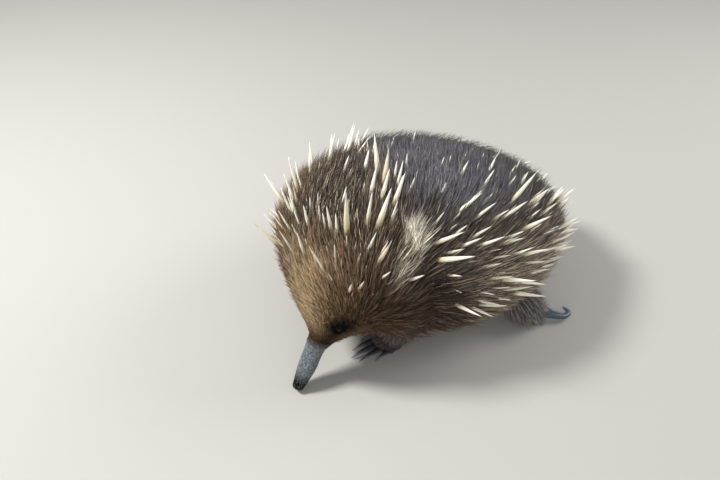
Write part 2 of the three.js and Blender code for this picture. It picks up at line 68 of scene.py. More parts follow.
# Body at the tips of the coat, from the rump to the snout, in millimetres and degrees:
# centre x, y, z, pitch, yaw, half width, above, below, squareness of the belly, depth of the coat
bodyRows = np.array([
    [0, 165, 63, 0, 0, 7, 7, 7, 2.2, 22],
    [0, 144, 68, 0, 0, 57, 45, 38, 2.6, 24],
    [3, 104, 74, 0, 0, 94, 64, 50, 3, 26],
    [5, 54, 78, 0, 0, 115, 83, 56, 3, 26],
    [7, 0, 80, 0, 4, 120, 94, 58, 3, 25],
    [14, -45, 80, 6, 10, 110, 95, 56, 3, 24],
    [28, -79, 78, 16, 18, 98, 88, 50, 2.6, 26],
    [51, -103, 76, 32, 22, 65, 62, 40, 2.3, 18],
    [78, -118, 58, 48, 29, 19.5, 26, 22, 2.2, 5],
    [81.4, -131.5, 42, 56, 29, 10.4, 10, 9.6, 2.2, 1],
    [88, -143.5, 22.4, 58, 29, 8.6, 7.8, 7.2, 2.1, 0],
    [94, -155, 5.6, 58, 29, 5.4, 4.8, 4.4, 2, 0],
], float)

body = {
    "roundness": 2.2,
    "bellyCoat": 0.35,  # share of the coat's depth on the underside
    "crease": {"at": 5, "spread": 0.3, "side": 12, "width": 42, "depth": 7},
    "eyeAt": (7.65, 34),  # place along the rows and angle up from the side
    "earAt": (7.2, 12),
    "bared": {"eyeAt": (13, 0.72), "earAt": (11, 0.4)},  # reach, and share of the coat's depth left off
    "headSteps": (28, 32),  # millimetres of one place along the head and of one radian round it
}
degree = math.pi / 180


def smooth(low, high, value):
    share = np.clip((value - low) / (high - low), 0, 1)
    return share * share * (3 - 2 * share)


def mix(first, second, share):
    return first + (second - first) * share


def unit(vectors):
    return vectors / np.maximum(np.linalg.norm(vectors, axis=-1, keepdims=True), 1e-9)


def between(a, b, c, d, t):
    # A smooth curve from b to c, with a before them and d after them
    return 0.5 * (2 * b + (c - a) * t + (2 * a - 5 * b + 4 * c - d) * t**2 + (3 * b - a - 3 * c + d) * t**3)


def linear(code):
    # sRGB hex to the linear colour that shaders read
    value = np.array([int(code[i:i + 2], 16) / 255 for i in (1, 3, 5)])
    return np.where(value <= 0.04045, value / 12.92, ((value + 0.055) / 1.055) ** 2.4)


def sectionAt(place):
    # The row at a place between the rows, with its forward, left and upward directions
    place = np.asarray(place, float)
    last = len(bodyRows) - 1
    index = np.clip(np.floor(place).astype(int), 0, last - 1)
    t = (place - index)[..., None]
    row = between(*(bodyRows[np.clip(index + k, 0, last)] for k in (-1, 0, 1, 2)), t)
    pitch, yaw = row[..., 3] * degree, row[..., 4] * degree
    level = np.cos(pitch)
    front = np.stack([np.sin(yaw) * level, -np.cos(yaw) * level, -np.sin(pitch)], -1)
    left = np.stack([np.cos(yaw), np.sin(yaw), 0 * yaw], -1)
    return row, front, left, np.cross(front, left)


def coatDepth(place, angle):
    under = smooth(0, 1, -np.sin(angle))
    return sectionAt(place)[0][..., 9] * mix(1, body["bellyCoat"], under)


def turnFrom(angle, centre):
    return np.arctan2(np.sin(angle - centre), np.cos(angle - centre))


def bodyPoint(place, angle, depth):
    # A point of the body, so many millimetres under the tips of the coat
    row, front, left, top = sectionAt(place)
    crease = body["crease"]
    fold = turnFrom(angle, crease["side"] * degree) / (crease["width"] * degree)
    inset = depth + crease["depth"] * np.exp(-((place - crease["at"]) / crease["spread"]) ** 2 - fold**2)
    ending = 1 - smooth(0, 1.2, place)
    across, rise = np.cos(angle), np.sin(angle)
    square = np.where(rise < 0, row[..., 8], body["roundness"])
    high = np.where(rise < 0, row[..., 7], row[..., 6])
    half = row[..., 5]
    wide = np.sign(across) * np.abs(across) ** (2 / square) * np.maximum(half - inset, half * 0.3)
    tall = np.sign(rise) * np.abs(rise) ** (2 / square) * np.maximum(high - inset, high * 0.3)
    return (row[..., :3] + front * (inset * ending)[..., None]
            + left * wide[..., None] + top * tall[..., None])


def directions(place, angle, depth):
    # Backwards, round and outwards on the body, with the millimetres of one step of each
    step = 0.02
    here = bodyPoint(place, angle, depth)
    back = bodyPoint(place - step, angle, depth) - here
    around = bodyPoint(place, angle + step, depth) - here
    perPlace = np.linalg.norm(back, axis=-1) / step
    perAngle = np.linalg.norm(around, axis=-1) / step
    back, around = unit(back), unit(around)
    return back, around, unit(np.cross(back, around)), perPlace, perAngle


def headSpot(place, side, sign):
    # Where an eye or ear is on the surface of the fur, and its outward, forward and cross directions
    angle = np.array(side * degree if sign > 0 else math.pi - side * degree)
    place = np.array(float(place))
    back, around, outward = directions(place, angle, 0)[:3]
    return bodyPoint(place, angle, 0), outward, -back, np.cross(outward, -back)


eyeSize = {"radius": 4.5, "depth": 3.6}
eyeSpots = {sign: headSpot(*body["eyeAt"], sign) for sign in (1, -1)}
earSpots = {sign: headSpot(*body["earAt"], sign) for sign in (1, -1)}
eyeCentres = {sign: spot[0] - spot[1] * eyeSize["depth"] for sign, spot in eyeSpots.items()}

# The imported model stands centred, so everything is moved by where its left eye is
eyeLow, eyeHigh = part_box("eye_left")
shift = (np.array(eyeLow) + np.array(eyeHigh)) * 500 - eyeCentres[1]
print("shift of the frame in mm", shift.round(3))


def skinDepth(place, angle):
    # The hide lies under the full coat, and comes up round the eyes and under the ears
    depth = coatDepth(place, angle)
    for spot, (span, share) in body["bared"].items():
        centre = body[spot]
        for side in (centre[1] * degree, math.pi - centre[1] * degree):
            along = (place - centre[0]) * body["headSteps"][0]
            around = turnFrom(angle, side) * body["headSteps"][1]
            depth = depth * (1 - share * np.exp(-(along**2 + around**2) / span**2))
    return depth


def skinPoint(place, angle):
    return bodyPoint(place, angle, skinDepth(place, angle))


def wallFaces(rows, sides, closed=False):
    # Triangles between rings of points, the last ring joined to the first where it is closed
    r, s = np.meshgrid(np.arange(rows if closed else rows - 1), np.arange(sides), indexing="ij")
    here, following = r * sides, (r + 1) % rows * sides
    a, b, c, d = here + s, here + (s + 1) % sides, following + (s + 1) % sides, following + s
    return np.stack([np.stack([a, b, d], -1), np.stack([b, c, d], -1)], -2).reshape(-1, 3)


def loftFaces(rows, sides):
    walls = wallFaces(rows, sides)
    ring = np.arange(sides)
    following = (ring + 1) % sides
    start, end, last = rows * sides, rows * sides + 1, (rows - 1) * sides
    first = np.stack([0 * ring + start, following, ring], -1)
    final = np.stack([0 * ring + end, last + ring, last + following], -1)
    return np.concatenate([walls, first, final])


def loft(rings, tip=None):
    # A closed surface through rings of points, with a fan at each end
    rows, sides = rings.shape[:2]
    ends = [rings[0].mean(0), rings[-1].mean(0) if tip is None else tip]
    return np.concatenate([rings.reshape(-1, 3), ends]), loftFaces(rows, sides)


def joined(parts):
    # Several solids as one list of points and faces
    points, faces, count = [], [], 0
    for partPoints, partFaces in parts:
        points.append(partPoints)
        faces.append(partFaces + count)
        count += len(partPoints)
    return np.concatenate(points), np.concatenate(faces)


def curveThrough(path, steps):
    path = np.array(path, float)
    padded = np.concatenate([[2 * path[0] - path[1]], path, [2 * path[-1] - path[-2]]])
    place = np.linspace(0, len(path) - 1, steps + 1)
    index = np.clip(np.floor(place).astype(int), 0, len(path) - 2)
    t = (place - index)[:, None]
    points = between(*(padded[index + k] for k in range(4)), t)
    return points, unit(np.gradient(points, axis=0))


def tube(path, sides, steps, size, hint=(0, 0, 1)):
    # A closed solid along a path, size giving its half width and half height at each share of it
    centres, forward = curveThrough(path, steps)
    lift = unit(np.array(hint, float) - forward * (forward @ np.array(hint, float))[:, None])
    left = np.cross(lift, forward)
    half, high = size(np.linspace(0, 1, steps + 1))
    angle = np.linspace(0, 2 * math.pi, sides, endpoint=False)
    rings = (centres[:, None] + left[:, None] * (half[:, None] * np.cos(angle))[..., None]
             + lift[:, None] * (high[:, None] * np.sin(angle))[..., None])
    return loft(rings)


def ball(centre, radii, axes=np.eye(3), around=32, down=20):
    polar = np.pi * (1 - np.arange(1, down) / down)[:, None]
    angle = np.linspace(0, 2 * math.pi, around, endpoint=False)[None]
    local = np.stack([np.sin(polar) * np.cos(angle) * radii[0],
                      np.sin(polar) * np.sin(angle) * radii[1],
                      np.cos(polar) * radii[2] + 0 * angle], -1)
    return loft(local @ np.array(axes) + centre)


def addObject(name, data):
    made = bpy.data.objects.new(name, data)
    bpy.context.scene.collection.objects.link(made)
    return made


def paintPoints(mesh, colours):
    tint = mesh.color_attributes.new("coatColour", "FLOAT_COLOR", "POINT")
    tint.data.foreach_set("color", np.c_[colours, np.ones(len(colours))].astype(np.float32).ravel())


def meshPiece(name, points, faces, material, colours=None, patch=None):
    # A plain mesh at the origin, its place in its points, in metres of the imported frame
    mesh = bpy.data.meshes.new(name)
    mesh.vertices.add(len(points))
    mesh.vertices.foreach_set("co", ((points + shift) * 0.001).astype(np.float32).ravel())
    mesh.loops.add(len(faces) * 3)
    mesh.loops.foreach_set("vertex_index", faces.astype(np.int32).ravel())
    mesh.polygons.add(len(faces))
    mesh.polygons.foreach_set("loop_start", np.arange(0, len(faces) * 3, 3, dtype=np.int32))
    mesh.polygons.foreach_set("use_smooth", np.ones(len(faces), dtype=bool))
    if colours is not None:
        paintPoints(mesh, colours)
    if patch is not None:
        layer = mesh.uv_layers.new(name="OFBake")
        layer.uv.foreach_set("vector", patch[faces.ravel()].astype(np.float32).ravel())
    mesh.update()
    mesh.validate()
    mesh.materials.append(material)
    return addObject(name, mesh)


def setStops(ramp, stops):
    while len(ramp.elements) < len(stops):
        ramp.elements.new(0.5)
    for element, (place, code) in zip(ramp.elements, stops):
        element.position = place
        element.color = (*linear(code), 1)


def addNode(tree, kind, values=None, links=None):
    # A node with its settings and links, stops being the places and colours of a ramp
    node = tree.nodes.new(kind)
    for name, value in (values or {}).items():
        if name == "stops":
            setStops(node.color_ramp, value)
        elif isinstance(name, int) or name in node.inputs:
            node.inputs[name].default_value = value
        else:
            setattr(node, name, value)
    for name, socket in (links or {}).items():
        tree.links.new(socket, node.inputs[name])
    return node


def newMaterial(name, surface):
    material = bpy.data.materials.new(name)
    material.use_nodes = True
    tree = material.node_tree
    shader = tree.nodes["Principled BSDF"]
    for key, value in surface.items():
        shader.inputs[key].default_value = value
    return material, tree, shader


def tintedMaterial(name, surface, grain, shades, relief=None):
    # A piece's own colours made lighter and darker by a fine grain, which may stand in relief as well
    material, tree, shader = newMaterial(name, surface)
    tint = addNode(tree, "ShaderNodeAttribute", {"attribute_name": "coatColour"})
    where = addNode(tree, "ShaderNodeTexCoord")
    noise = addNode(tree, "ShaderNodeTexNoise", grain, {"Vector": where.outputs["Object"]})
    shade = addNode(tree, "ShaderNodeMapRange", {"To Min": shades[0], "To Max": shades[1]},
                    {"Value": noise.outputs["Fac"]})
    colour = addNode(tree, "ShaderNodeVectorMath", {"operation": "SCALE"},
                     {0: tint.outputs["Color"], "Scale": shade.outputs["Result"]})
    tree.links.new(colour.outputs["Vector"], shader.inputs["Base Color"])
    if relief:
        bump = addNode(tree, "ShaderNodeBump", relief, {"Height": noise.outputs["Fac"]})
        tree.links.new(bump.outputs["Normal"], shader.inputs["Normal"])
    return material


# Keratin hair: dry, slightly glossy, its shade changing about every millimetre
def hairMaterial():
    return tintedMaterial("keratin hair", {"Roughness": 0.52, "IOR": 1.55, "Specular IOR Level": 0.42},
                          {"Scale": 900.0, "Detail": 2.0}, (0.78, 1.22))


# Hide: thin, dull skin under the coat, wrinkled at about 3 mm
def hideMaterial():
    return tintedMaterial("hide", {"Roughness": 0.7, "IOR": 1.4, "Specular IOR Level": 0.12},
                          {"Scale": 320.0, "Detail": 4.0, "Roughness": 0.6}, (0.7, 1.3),
                          {"Strength": 0.6, "Distance": 0.0006})


# Claw: worn horn, mottled at about 2.4 mm, blue-grey and paler towards its worn end
def clawMaterial():
    return tintedMaterial("claw horn", {"Roughness": 0.33, "IOR": 1.54},
                          {"Scale": 420.0, "Detail": 4.0}, (0.65, 1.35),
                          {"Strength": 0.3, "Distance": 0.0003})


# Keratin spine: smooth ivory horn, a few with a short dark tip, with painted shade making it brown towards
# the root where the coat covers it
def spineMaterial():
    material, tree, shader = newMaterial("keratin spine",
                                         {"Roughness": 0.34, "IOR": 1.55, "Specular IOR Level": 0.5})
    share = addNode(tree, "ShaderNodeAttribute", {"attribute_name": "spineShare"})
    tone = addNode(tree, "ShaderNodeAttribute", {"attribute_name": "spineTone"})
    # In both ramps the brown stops up to about 0.4 of the length are painted shade of the coat over the root
    ivory = [(0.0, "#33241a"), (0.3, "#6b5238"), (0.4, "#c4a970"), (0.5, "#ebdfb8"), (0.7, "#f7f2e0"),
             (1.0, "#f6f2e6")]
    darkTipped = [(0.0, "#33241a"), (0.34, "#6b4f33"), (0.52, "#c9ae76"), (0.84, "#d8c79a"),
                  (0.93, "#5a4a3c"), (1.0, "#2a211c")]
    along = {"Fac": share.outputs["Fac"]}
    pale = addNode(tree, "ShaderNodeValToRGB", {"stops": ivory}, along)
    darker = addNode(tree, "ShaderNodeValToRGB", {"stops": darkTipped}, along)
    blend = addNode(tree, "ShaderNodeMix", {"data_type": "RGBA"},
                    {0: tone.outputs["Fac"], 6: pale.outputs["Color"], 7: darker.outputs["Color"]})
    where = addNode(tree, "ShaderNodeTexCoord")
    grain = addNode(tree, "ShaderNodeTexNoise", {"Scale": 420.0, "Detail": 3.0},
                    {"Vector": where.outputs["Object"]})
    shade = addNode(tree, "ShaderNodeMapRange", {"To Min": 0.86, "To Max": 1.1},
                    {"Value": grain.outputs["Fac"]})
    colour = addNode(tree, "ShaderNodeVectorMath", {"operation": "SCALE"},
                     {0: blend.outputs[2], "Scale": shade.outputs["Result"]})
    tree.links.new(colour.outputs["Vector"], shader.inputs["Base Color"])
    return material


# Bare beak skin: leathery, blue-grey, finely pebbled at about 0.8 mm, black and wet at its tip
def beakMaterial(tipPoint):
    material, tree, shader = newMaterial("bare beak skin", {"IOR": 1.42, "Specular IOR Level": 0.46})
    where = addNode(tree, "ShaderNodeTexCoord")
    place = {"Vector": where.outputs["Object"]}
    cloud = addNode(tree, "ShaderNodeTexNoise", {"Scale": 640.0, "Detail": 4.0, "Roughness": 0.6}, place)
    greys = [(0.3, "#3a3e42"), (0.45, "#555b5f"), (0.58, "#70777c"), (0.72, "#9ba2a6")]
    mottled = addNode(tree, "ShaderNodeValToRGB", {"stops": greys}, {"Fac": cloud.outputs["Fac"]})
    away = addNode(tree, "ShaderNodeVectorMath", {"operation": "DISTANCE", 1: tipPoint},
                   {0: where.outputs["Object"]})
    wet = addNode(tree, "ShaderNodeMapRange",
                  {"From Min": 0.011, "From Max": 0.024, "To Min": 1.0, "To Max": 0.0},
                  {"Value": away.outputs["Value"]})
    wetness = wet.outputs["Result"]
    colour = addNode(tree, "ShaderNodeMix", {"data_type": "RGBA", 7: (*linear("#060607"), 1)},
                     {0: wetness, 6: mottled.outputs["Color"]})
    gloss = addNode(tree, "ShaderNodeMapRange", {"To Min": 0.36, "To Max": 0.09}, {"Value": wetness})
    pebble = addNode(tree, "ShaderNodeTexVoronoi", {"Scale": 1250.0}, place)
    rough = addNode(tree, "ShaderNodeMapRange", {"To Min": 0.75, "To Max": 0.1}, {"Value": wetness})
    ripple = addNode(tree, "ShaderNodeTexNoise", {"Scale": 560.0, "Detail": 1.0}, place)
    film = addNode(tree, "ShaderNodeBump", {"Distance": 0.007},
                   {"Height": ripple.outputs["Fac"], "Strength": wetness})
    relief = addNode(tree, "ShaderNodeBump", {"Distance": 0.0003},
                     {"Height": pebble.outputs["Distance"], "Strength": rough.outputs["Result"],
                      "Normal": film.outputs["Normal"]})
    tree.links.new(colour.outputs[2], shader.inputs["Base Color"])
    tree.links.new(gloss.outputs["Result"], shader.inputs["Roughness"])
    tree.links.new(relief.outputs["Normal"], shader.inputs["Normal"])
    return material


# Eye: a wet ball, almost black
def eyeMaterial():
    material, tree, shader = newMaterial("wet eye",
                                         {"Roughness": 0.04, "IOR": 1.38, "Specular IOR Level": 0.16})
    where = addNode(tree, "ShaderNodeTexCoord")
    cloud = addNode(tree, "ShaderNodeTexNoise", {"Scale": 500.0, "Detail": 2.0},
                    {"Vector": where.outputs["Object"]})
    brown = addNode(tree, "ShaderNodeValToRGB", {"stops": [(0.3, "#030202"), (0.7, "#0a0605")]},
                    {"Fac": cloud.outputs["Fac"]})
    tree.links.new(brown.outputs["Color"], shader.inputs["Base Color"])
    return material


hair, spineHorn, hide = hairMaterial(), spineMaterial(), hideMaterial()
clawHorn, wetEye = clawMaterial(), eyeMaterial()
print("materials made")

# Colours of the coat, from the root of a hair to its tip
coatTones = {
    "back": ("#100b08", "#281e17", "#5a4b3c"),
    "paintedSheen": ("#1a1820", "#535060", "#aca8b3"),  # painted sheen: the sky's grey-blue reflection on the hair tips on top of the back
    "flank": ("#0d0907", "#291e17", "#5c4536"),
    "skirt": ("#160f0b", "#433126", "#8c735c"),  # the lower edge of the flank
    "neck": ("#0b0705", "#20160f", "#4a3827"),
    "face": ("#33250f", "#775f3e", "#b0966b"),
    "cheek": ("#1e130b", "#45301d", "#806143"),
    "brow": ("#1f1209", "#4b2f18", "#694626"),  # round the eye and at the root of the beak
    "socket": ("#060403", "#0b0705", "#150e0a"),
    "fold": ("#080605", "#120d0a", "#2b211a"),  # painted shade in the fold behind the pale tuft
    "pale": ("#6b5c47", "#ddcfb0", "#fffaea"),
    "streak": ("#35312f", "#8b8480", "#cdc6c0"),  # pale hairs of the legs
    "belly": ("#1f1713", "#43352a", "#6a5745"),
    "leg": ("#181615", "#453f3c", "#8b837e"),
    "bristle": ("#33241a", "#a1866a", "#e2d2b6"),
    "guard": ("#0e0a08", "#241b16", "#5d5048"),
}
toneTable = {name: np.array([linear(code) for code in codes]) for name, codes in coatTones.items()}
socketPatch = {"lean": (0.66, 0.75), "long": 12, "wide": 5.6}  # dark skin round the eye with the shade of its socket painted in, in millimetres


def degreesFromTop(angle):
    return np.abs(turnFrom(angle, 90 * degree)) / degree


def creaseLine(place, angle):
    # Places in front of the dark fold between neck and shoulder are above 0
    return place - (4.54 + (degreesFromTop(angle) - 27) * 0.038)


def paleTuft(place, angle):
    # The one pale tuft behind the left cheek
    ahead, fromTop = creaseLine(place, angle), degreesFromTop(angle)
    return (smooth(0.05, 0.18, ahead) * (1 - smooth(0.42, 0.6, ahead)) * smooth(38, 44, fromTop)
            * (1 - smooth(59, 67, fromTop)) * smooth(0.0, 0.3, np.cos(angle)))


def coatTone(place, angle, chance):
    # Root, middle and tip colour at each spot of the body, with chance from 0 to 1 for each tuft.
    # Each marking, painted sheen and painted shade lies over the ones before it
    place, angle, chance = np.broadcast_arrays(place, angle, chance)
    high, leftward = np.sin(angle), np.cos(angle)
    tone = np.repeat(toneTable["back"][None], place.size, 0)

    def paint(name, share):
        nonlocal tone
        tone = tone + (toneTable[name][None] - tone) * np.clip(share, 0, 1).reshape(-1, 1, 1)

    torso = 1 - smooth(5.4, 6.2, place)
    # Painted sheen: a grey-blue reflection of the sky painted on top of the back, fading towards the neck
    paint("paintedSheen", smooth(0.62, 0.97, high) * smooth(0.4, 1.8, place) * (1 - smooth(3.9, 5.6, place)) * 0.96)
    paint("flank", (1 - smooth(-0.1, 0.5, high)) * torso)
    lowSome = (1 - smooth(-0.35, 0.05, high)) * smooth(0.15, 0.5, chance)
    paint("skirt", lowSome * torso * smooth(2.4, 3.6, place))
    paint("belly", smooth(0.55, 0.9, -high))
    # Painted shade: the rear of the body, except underneath, is turned back to the dark back tone
    paint("back", 0.85 * (1 - smooth(1.2, 3.4, place)) * smooth(-0.85, -0.4, high))
    paint("neck", smooth(4.7, 5.6, place) * smooth(-0.6, 0.0, high))
    paint("cheek", smooth(6.1, 6.8, place))
    paint("face", 0.5 * smooth(5.3, 6.3, place) * smooth(0.1, 0.75, -leftward) * smooth(-0.3, 0.1, high))
    paint("face", smooth(6.2, 7.0, place - 0.35 * chance) * smooth(0.3, 0.85, high))
    # Millimetres above and behind the nearer eye
    eyePlace, eyeSide = body["eyeAt"][0], body["eyeAt"][1] * degree
    alongStep, aroundStep = body["headSteps"]
    above = np.where(leftward > 0, turnFrom(angle, eyeSide), -turnFrom(angle, math.pi - eyeSide)) * aroundStep
    behind = (eyePlace - place) * alongStep
    paint("brow", np.exp(-((behind / 15) ** 2 + (above / 11) ** 2)) + smooth(7.8, 8.5, place) * 0.8)
    underEye = 0.55 * np.exp(-((above + 15) / 7) ** 2) * smooth(6.4, 7.0, place)
    paint("face", underEye * (1 - smooth(7.9, 8.3, place)))
    # Dark skin round the eye, with painted shade of the socket over it, an almond patch
    level, upright = socketPatch["lean"]
    along, across = behind * level - above * upright, behind * upright + above * level
    patch = ((along / socketPatch["long"]) ** 2 + (across / socketPatch["wide"]) ** 2) ** 2
    paint("socket", 1.4 * np.exp(-patch))
    ahead, fromTop = creaseLine(place, angle), degreesFromTop(angle)
    # Painted shade along the fold between neck and shoulder
    inFold = np.exp(-((ahead + 0.16) / 0.17) ** 2)
    paint("fold", 0.9 * inFold * smooth(24, 36, fromTop) * (1 - smooth(75, 90, fromTop)))
    paint("pale", paleTuft(place, angle) * smooth(0.12, 0.4, chance))
    light = smooth(0.8, 0.92, chance) * (1 - 0.55 * smooth(0.3, 0.8, high) * (1 - smooth(4.5, 5.2, place)))
    paint("bristle", light * 0.6 * (1 - smooth(6.9, 7.4, place)))
    # Painted shade: the right side of the head, where the key light falls, is made up to 0.3 darker
    return tone * (1 - 0.3 * smooth(-0.1, 0.6, -leftward) * smooth(5.8, 7.0, place)).reshape(-1, 1, 1)


def quasi(count, start):
    # Evenly spread pairs of numbers between 0 and 1
    order = np.arange(count) + start
    return (order * 0.7548776662466927) % 1, (order * 0.5698402909980532) % 1


def spotsOver(low, high, density, count, start):
    # Places and angles spread over the body in proportion to its area and a density
    rows, sides = 260, 300
    cell = 2 * math.pi / sides
    place = np.linspace(low, high, rows)[:, None] + np.zeros(sides)
    angle = (np.arange(sides) + 0.5)[None] * cell + np.zeros((rows, 1)) - math.pi / 2
    perPlace, perAngle = directions(place, angle, skinDepth(place, angle))[3:]
    weight = perPlace * perAngle * density(place, angle)
    byRow = np.concatenate([[0], np.cumsum(weight.sum(1))])
    byRow /= byRow[-1]
    inRow = np.cumsum(weight, 1) / weight.sum(1, keepdims=True)
    first, second = quasi(count, start)
    spot = np.interp(first, byRow, np.arange(rows + 1))
    row = np.clip(spot.astype(int), 0, rows - 1)
    flat = (inRow + np.arange(rows)[:, None]).ravel()
    column = np.searchsorted(flat, np.minimum(second, 0.999999) + row) - row * sides
    column = np.clip(column, 0, sides - 1)
    within = (np.random.default_rng(start).random(count) - 0.5) * 2 * math.pi / sides
    return low + (high - low) * spot / rows, angle[0, column] + within


# How steeply the coat stands, in degrees, at places along the top and along the sides
topLift = ((0, 1, 2, 3, 4, 5, 6, 6.6, 7, 7.5, 8, 8.5, 9.2),
           (36, 32, 32, 36, 46, 58, 58, 48, 38, 30, 24, 18, 13))
sideLift = ((0, 2, 4, 5, 6, 7, 8, 8.5, 9.2), (28, 24, 25, 33, 36, 27, 21, 17, 12))
# How far the lie turns up towards the ridge, in degrees, at angles round the torso and the neck
torsoTurn = ((-60, -20, 0, 15, 30, 45, 60, 75, 90, 105, 120, 132, 142, 152, 165, 180, 200, 240),
             (-6, -12, -4, 5, 13, 24, 37, 50, 58, 56, 22, -14, -26, -18, -6, 3, 12, 6))
neckTurn = ((-60, -20, 0, 20, 50, 65, 78, 92, 105, 120, 140, 160, 180, 200, 240),
            (0, 2, 8, 20, 29, 33, 25, 2, -8, -14, -18, -13, -6, -2, 0))
rumpEnd = {"place": 0.55, "back": unit(np.array([0.0, 0.93, 0.16]))}  # past it, tufts run straight back


def coatLift(place, angle):
    share = smooth(0.25, 0.95, np.sin(angle))
    return mix(np.interp(place, *sideLift), np.interp(place, *topLift), share)


def coatTurn(place, angle):
    around = (angle / degree + 90) % 360 - 90
    torso = np.interp(around, *torsoTurn) * mix(0.45, 1, smooth(1.0, 2.4, place))
    lie = mix(torso, np.interp(around, *neckTurn), smooth(4.8, 5.7, place))
    return lie * (1 - 0.7 * smooth(6.8, 7.8, place))


def coatPath(place, angle, length, lift, turn, shares, sink=1.2, rise=0.72):
    # Points of each tuft from its root to its tip, following the body
    outward, perPlace, perAngle = directions(place, angle, coatDepth(place, angle) * 0.5)[2:]
    tall = length * np.sin(lift)
    reach = length * np.cos(lift)
    points = []
    for share in shares:
        wanted = place - reach * np.cos(turn) * share / perPlace
        spot = np.maximum(wanted, np.minimum(place, rumpEnd["place"]))
        past = (spot - wanted) * perPlace
        turned = angle + reach * np.sin(turn) * share * share / perAngle
        out = mix(-sink, tall, share**rise)
        normal = directions(spot, turned, skinDepth(spot, turned))[2]
        points.append(skinPoint(spot, turned) + normal * out[..., None] + rumpEnd["back"] * past[:, None])
    return np.stack(points, 1), outward


def tuftFaces(rings):
    corners = np.arange(3)
    following = (corners + 1) % 3
    faces = [[[0, 2, 1]]]
    for ring in range(rings - 1):
        a, b = 3 * ring + corners, 3 * ring + following
        faces.append(np.stack([a, b, a + 3], -1))
        faces.append(np.stack([b, b + 3, a + 3], -1))
    last = 3 * (rings - 1)
    faces.append(np.stack([last + corners, last + following, 0 * corners + 3 * rings], -1))
    return np.concatenate([np.array(part) for part in faces])


def tuftMesh(path, outward, width, flatness, profile, roll):
    # Three-sided tapered blades along paths whose last point is the tip
    count, steps = path.shape[:2]
    forward = unit(np.gradient(path, axis=1))
    side = unit(np.cross(np.broadcast_to(outward[:, None], forward.shape), forward))
    rise = np.cross(forward, side)
    turnCos, turnSin = np.cos(roll)[:, None, None], np.sin(roll)[:, None, None]
    side, rise = side * turnCos + rise * turnSin, rise * turnCos - side * turnSin
    rings = steps - 1
    half = (width[:, None] * np.array(profile[:rings]) / 2)[..., None]
    centre, side, rise = path[:, :rings], side[:, :rings], rise[:, :rings]
    corners = np.stack([centre - side * half - rise * half * flatness * 0.5,
                        centre + side * half - rise * half * flatness * 0.5,
                        centre + rise * half * flatness], 2)
    points = np.concatenate([corners.reshape(count, rings * 3, 3), path[:, -1:]], 1)
    perTuft = rings * 3 + 1
    faces = tuftFaces(rings)[None] + (np.arange(count) * perTuft)[:, None, None]
    return points.reshape(-1, 3), faces.reshape(-1, 3)


def pointShares(shares, rings):
    # How far along its tuft each point is
    return np.array(np.repeat(np.array(shares[:rings]), 3).tolist() + [shares[-1]])


def tuftColours(tone, shares, rings):
    share = pointShares(shares, rings)[None, :, None]
    root, middle, tip = (tone[:, k][:, None] for k in range(3))
    lower = mix(root, middle, smooth(0.0, 0.5, share))
    return mix(lower, tip, smooth(0.5, 1.0, share)).reshape(-1, 3)


patchSize = 0.003  # each tuft's patch on the unwrap of the hide
pieceLimit = 190000  # triangles of one piece


def tuftPatches(corner, shares, rings):
    across = np.array([-0.5, 0.5, 0.0] * rings + [0.0])
    local = np.stack([across, pointShares(shares, rings) - 0.5], -1) * patchSize
    return (corner[:, None] + local[None]).reshape(-1, 2)


def bodyCorner(place, angle):
    # Where a root is on the unwrap: angles run across it and places up
    return np.stack([0.02 + ((angle / (2 * math.pi)) % 1) * 0.6, 0.02 + place / 9.6 * 0.95], -1)


def addCoat(name, path, outward, width, flatness, profile, roll, tone, shares, corner):
    rings = len(shares) - 1
    perTuft = len(tuftFaces(rings))
    parts = int(math.ceil(len(path) / (pieceLimit // perTuft)))
    for part in range(parts):
        pick = slice(part * len(path) // parts, (part + 1) * len(path) // parts)
        points, faces = tuftMesh(path[pick], outward[pick], width[pick], flatness, profile, roll[pick])
        piece = meshPiece(name if parts == 1 else f"{name}_{part + 1}", points, faces, hair,
                          tuftColours(tone[pick], shares, rings), tuftPatches(corner[pick], shares, rings))
        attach(piece, "root")
    print(name, len(path), "tufts", len(path) * perTuft, "faces")


def clearOfEyes(path, room):
    clear = np.ones(len(path), bool)
    for sign in (1, -1):
        front = eyeCentres[sign] + eyeSpots[sign][1] * 3.5
        clear &= (np.linalg.norm(path - front, axis=-1) > room).all(1)
    return clear


def swirl(points, size, amount, seed):
    # A gentle, even disorder of the lie
    rng = np.random.default_rng(seed)
    total = 0
    for _ in range(4):
        wave = rng.normal(size=3) / size
        total = total + np.sin(points @ wave + rng.random() * 6.28)
    return total * amount / 2


# What all coats keep to, and how far spines stay off the eyes, in degrees and millimetres
coatRules = {
    "lift": (6, 80), "flattest": 14,  # a lower lift makes no tuft longer
    "liftSwirl": 11, "turnSwirl": 16,  # the size of each disorder
    "offFloor": 0.6, "eyeRoom": 5.0, "spineEyeRoom": 12,
}


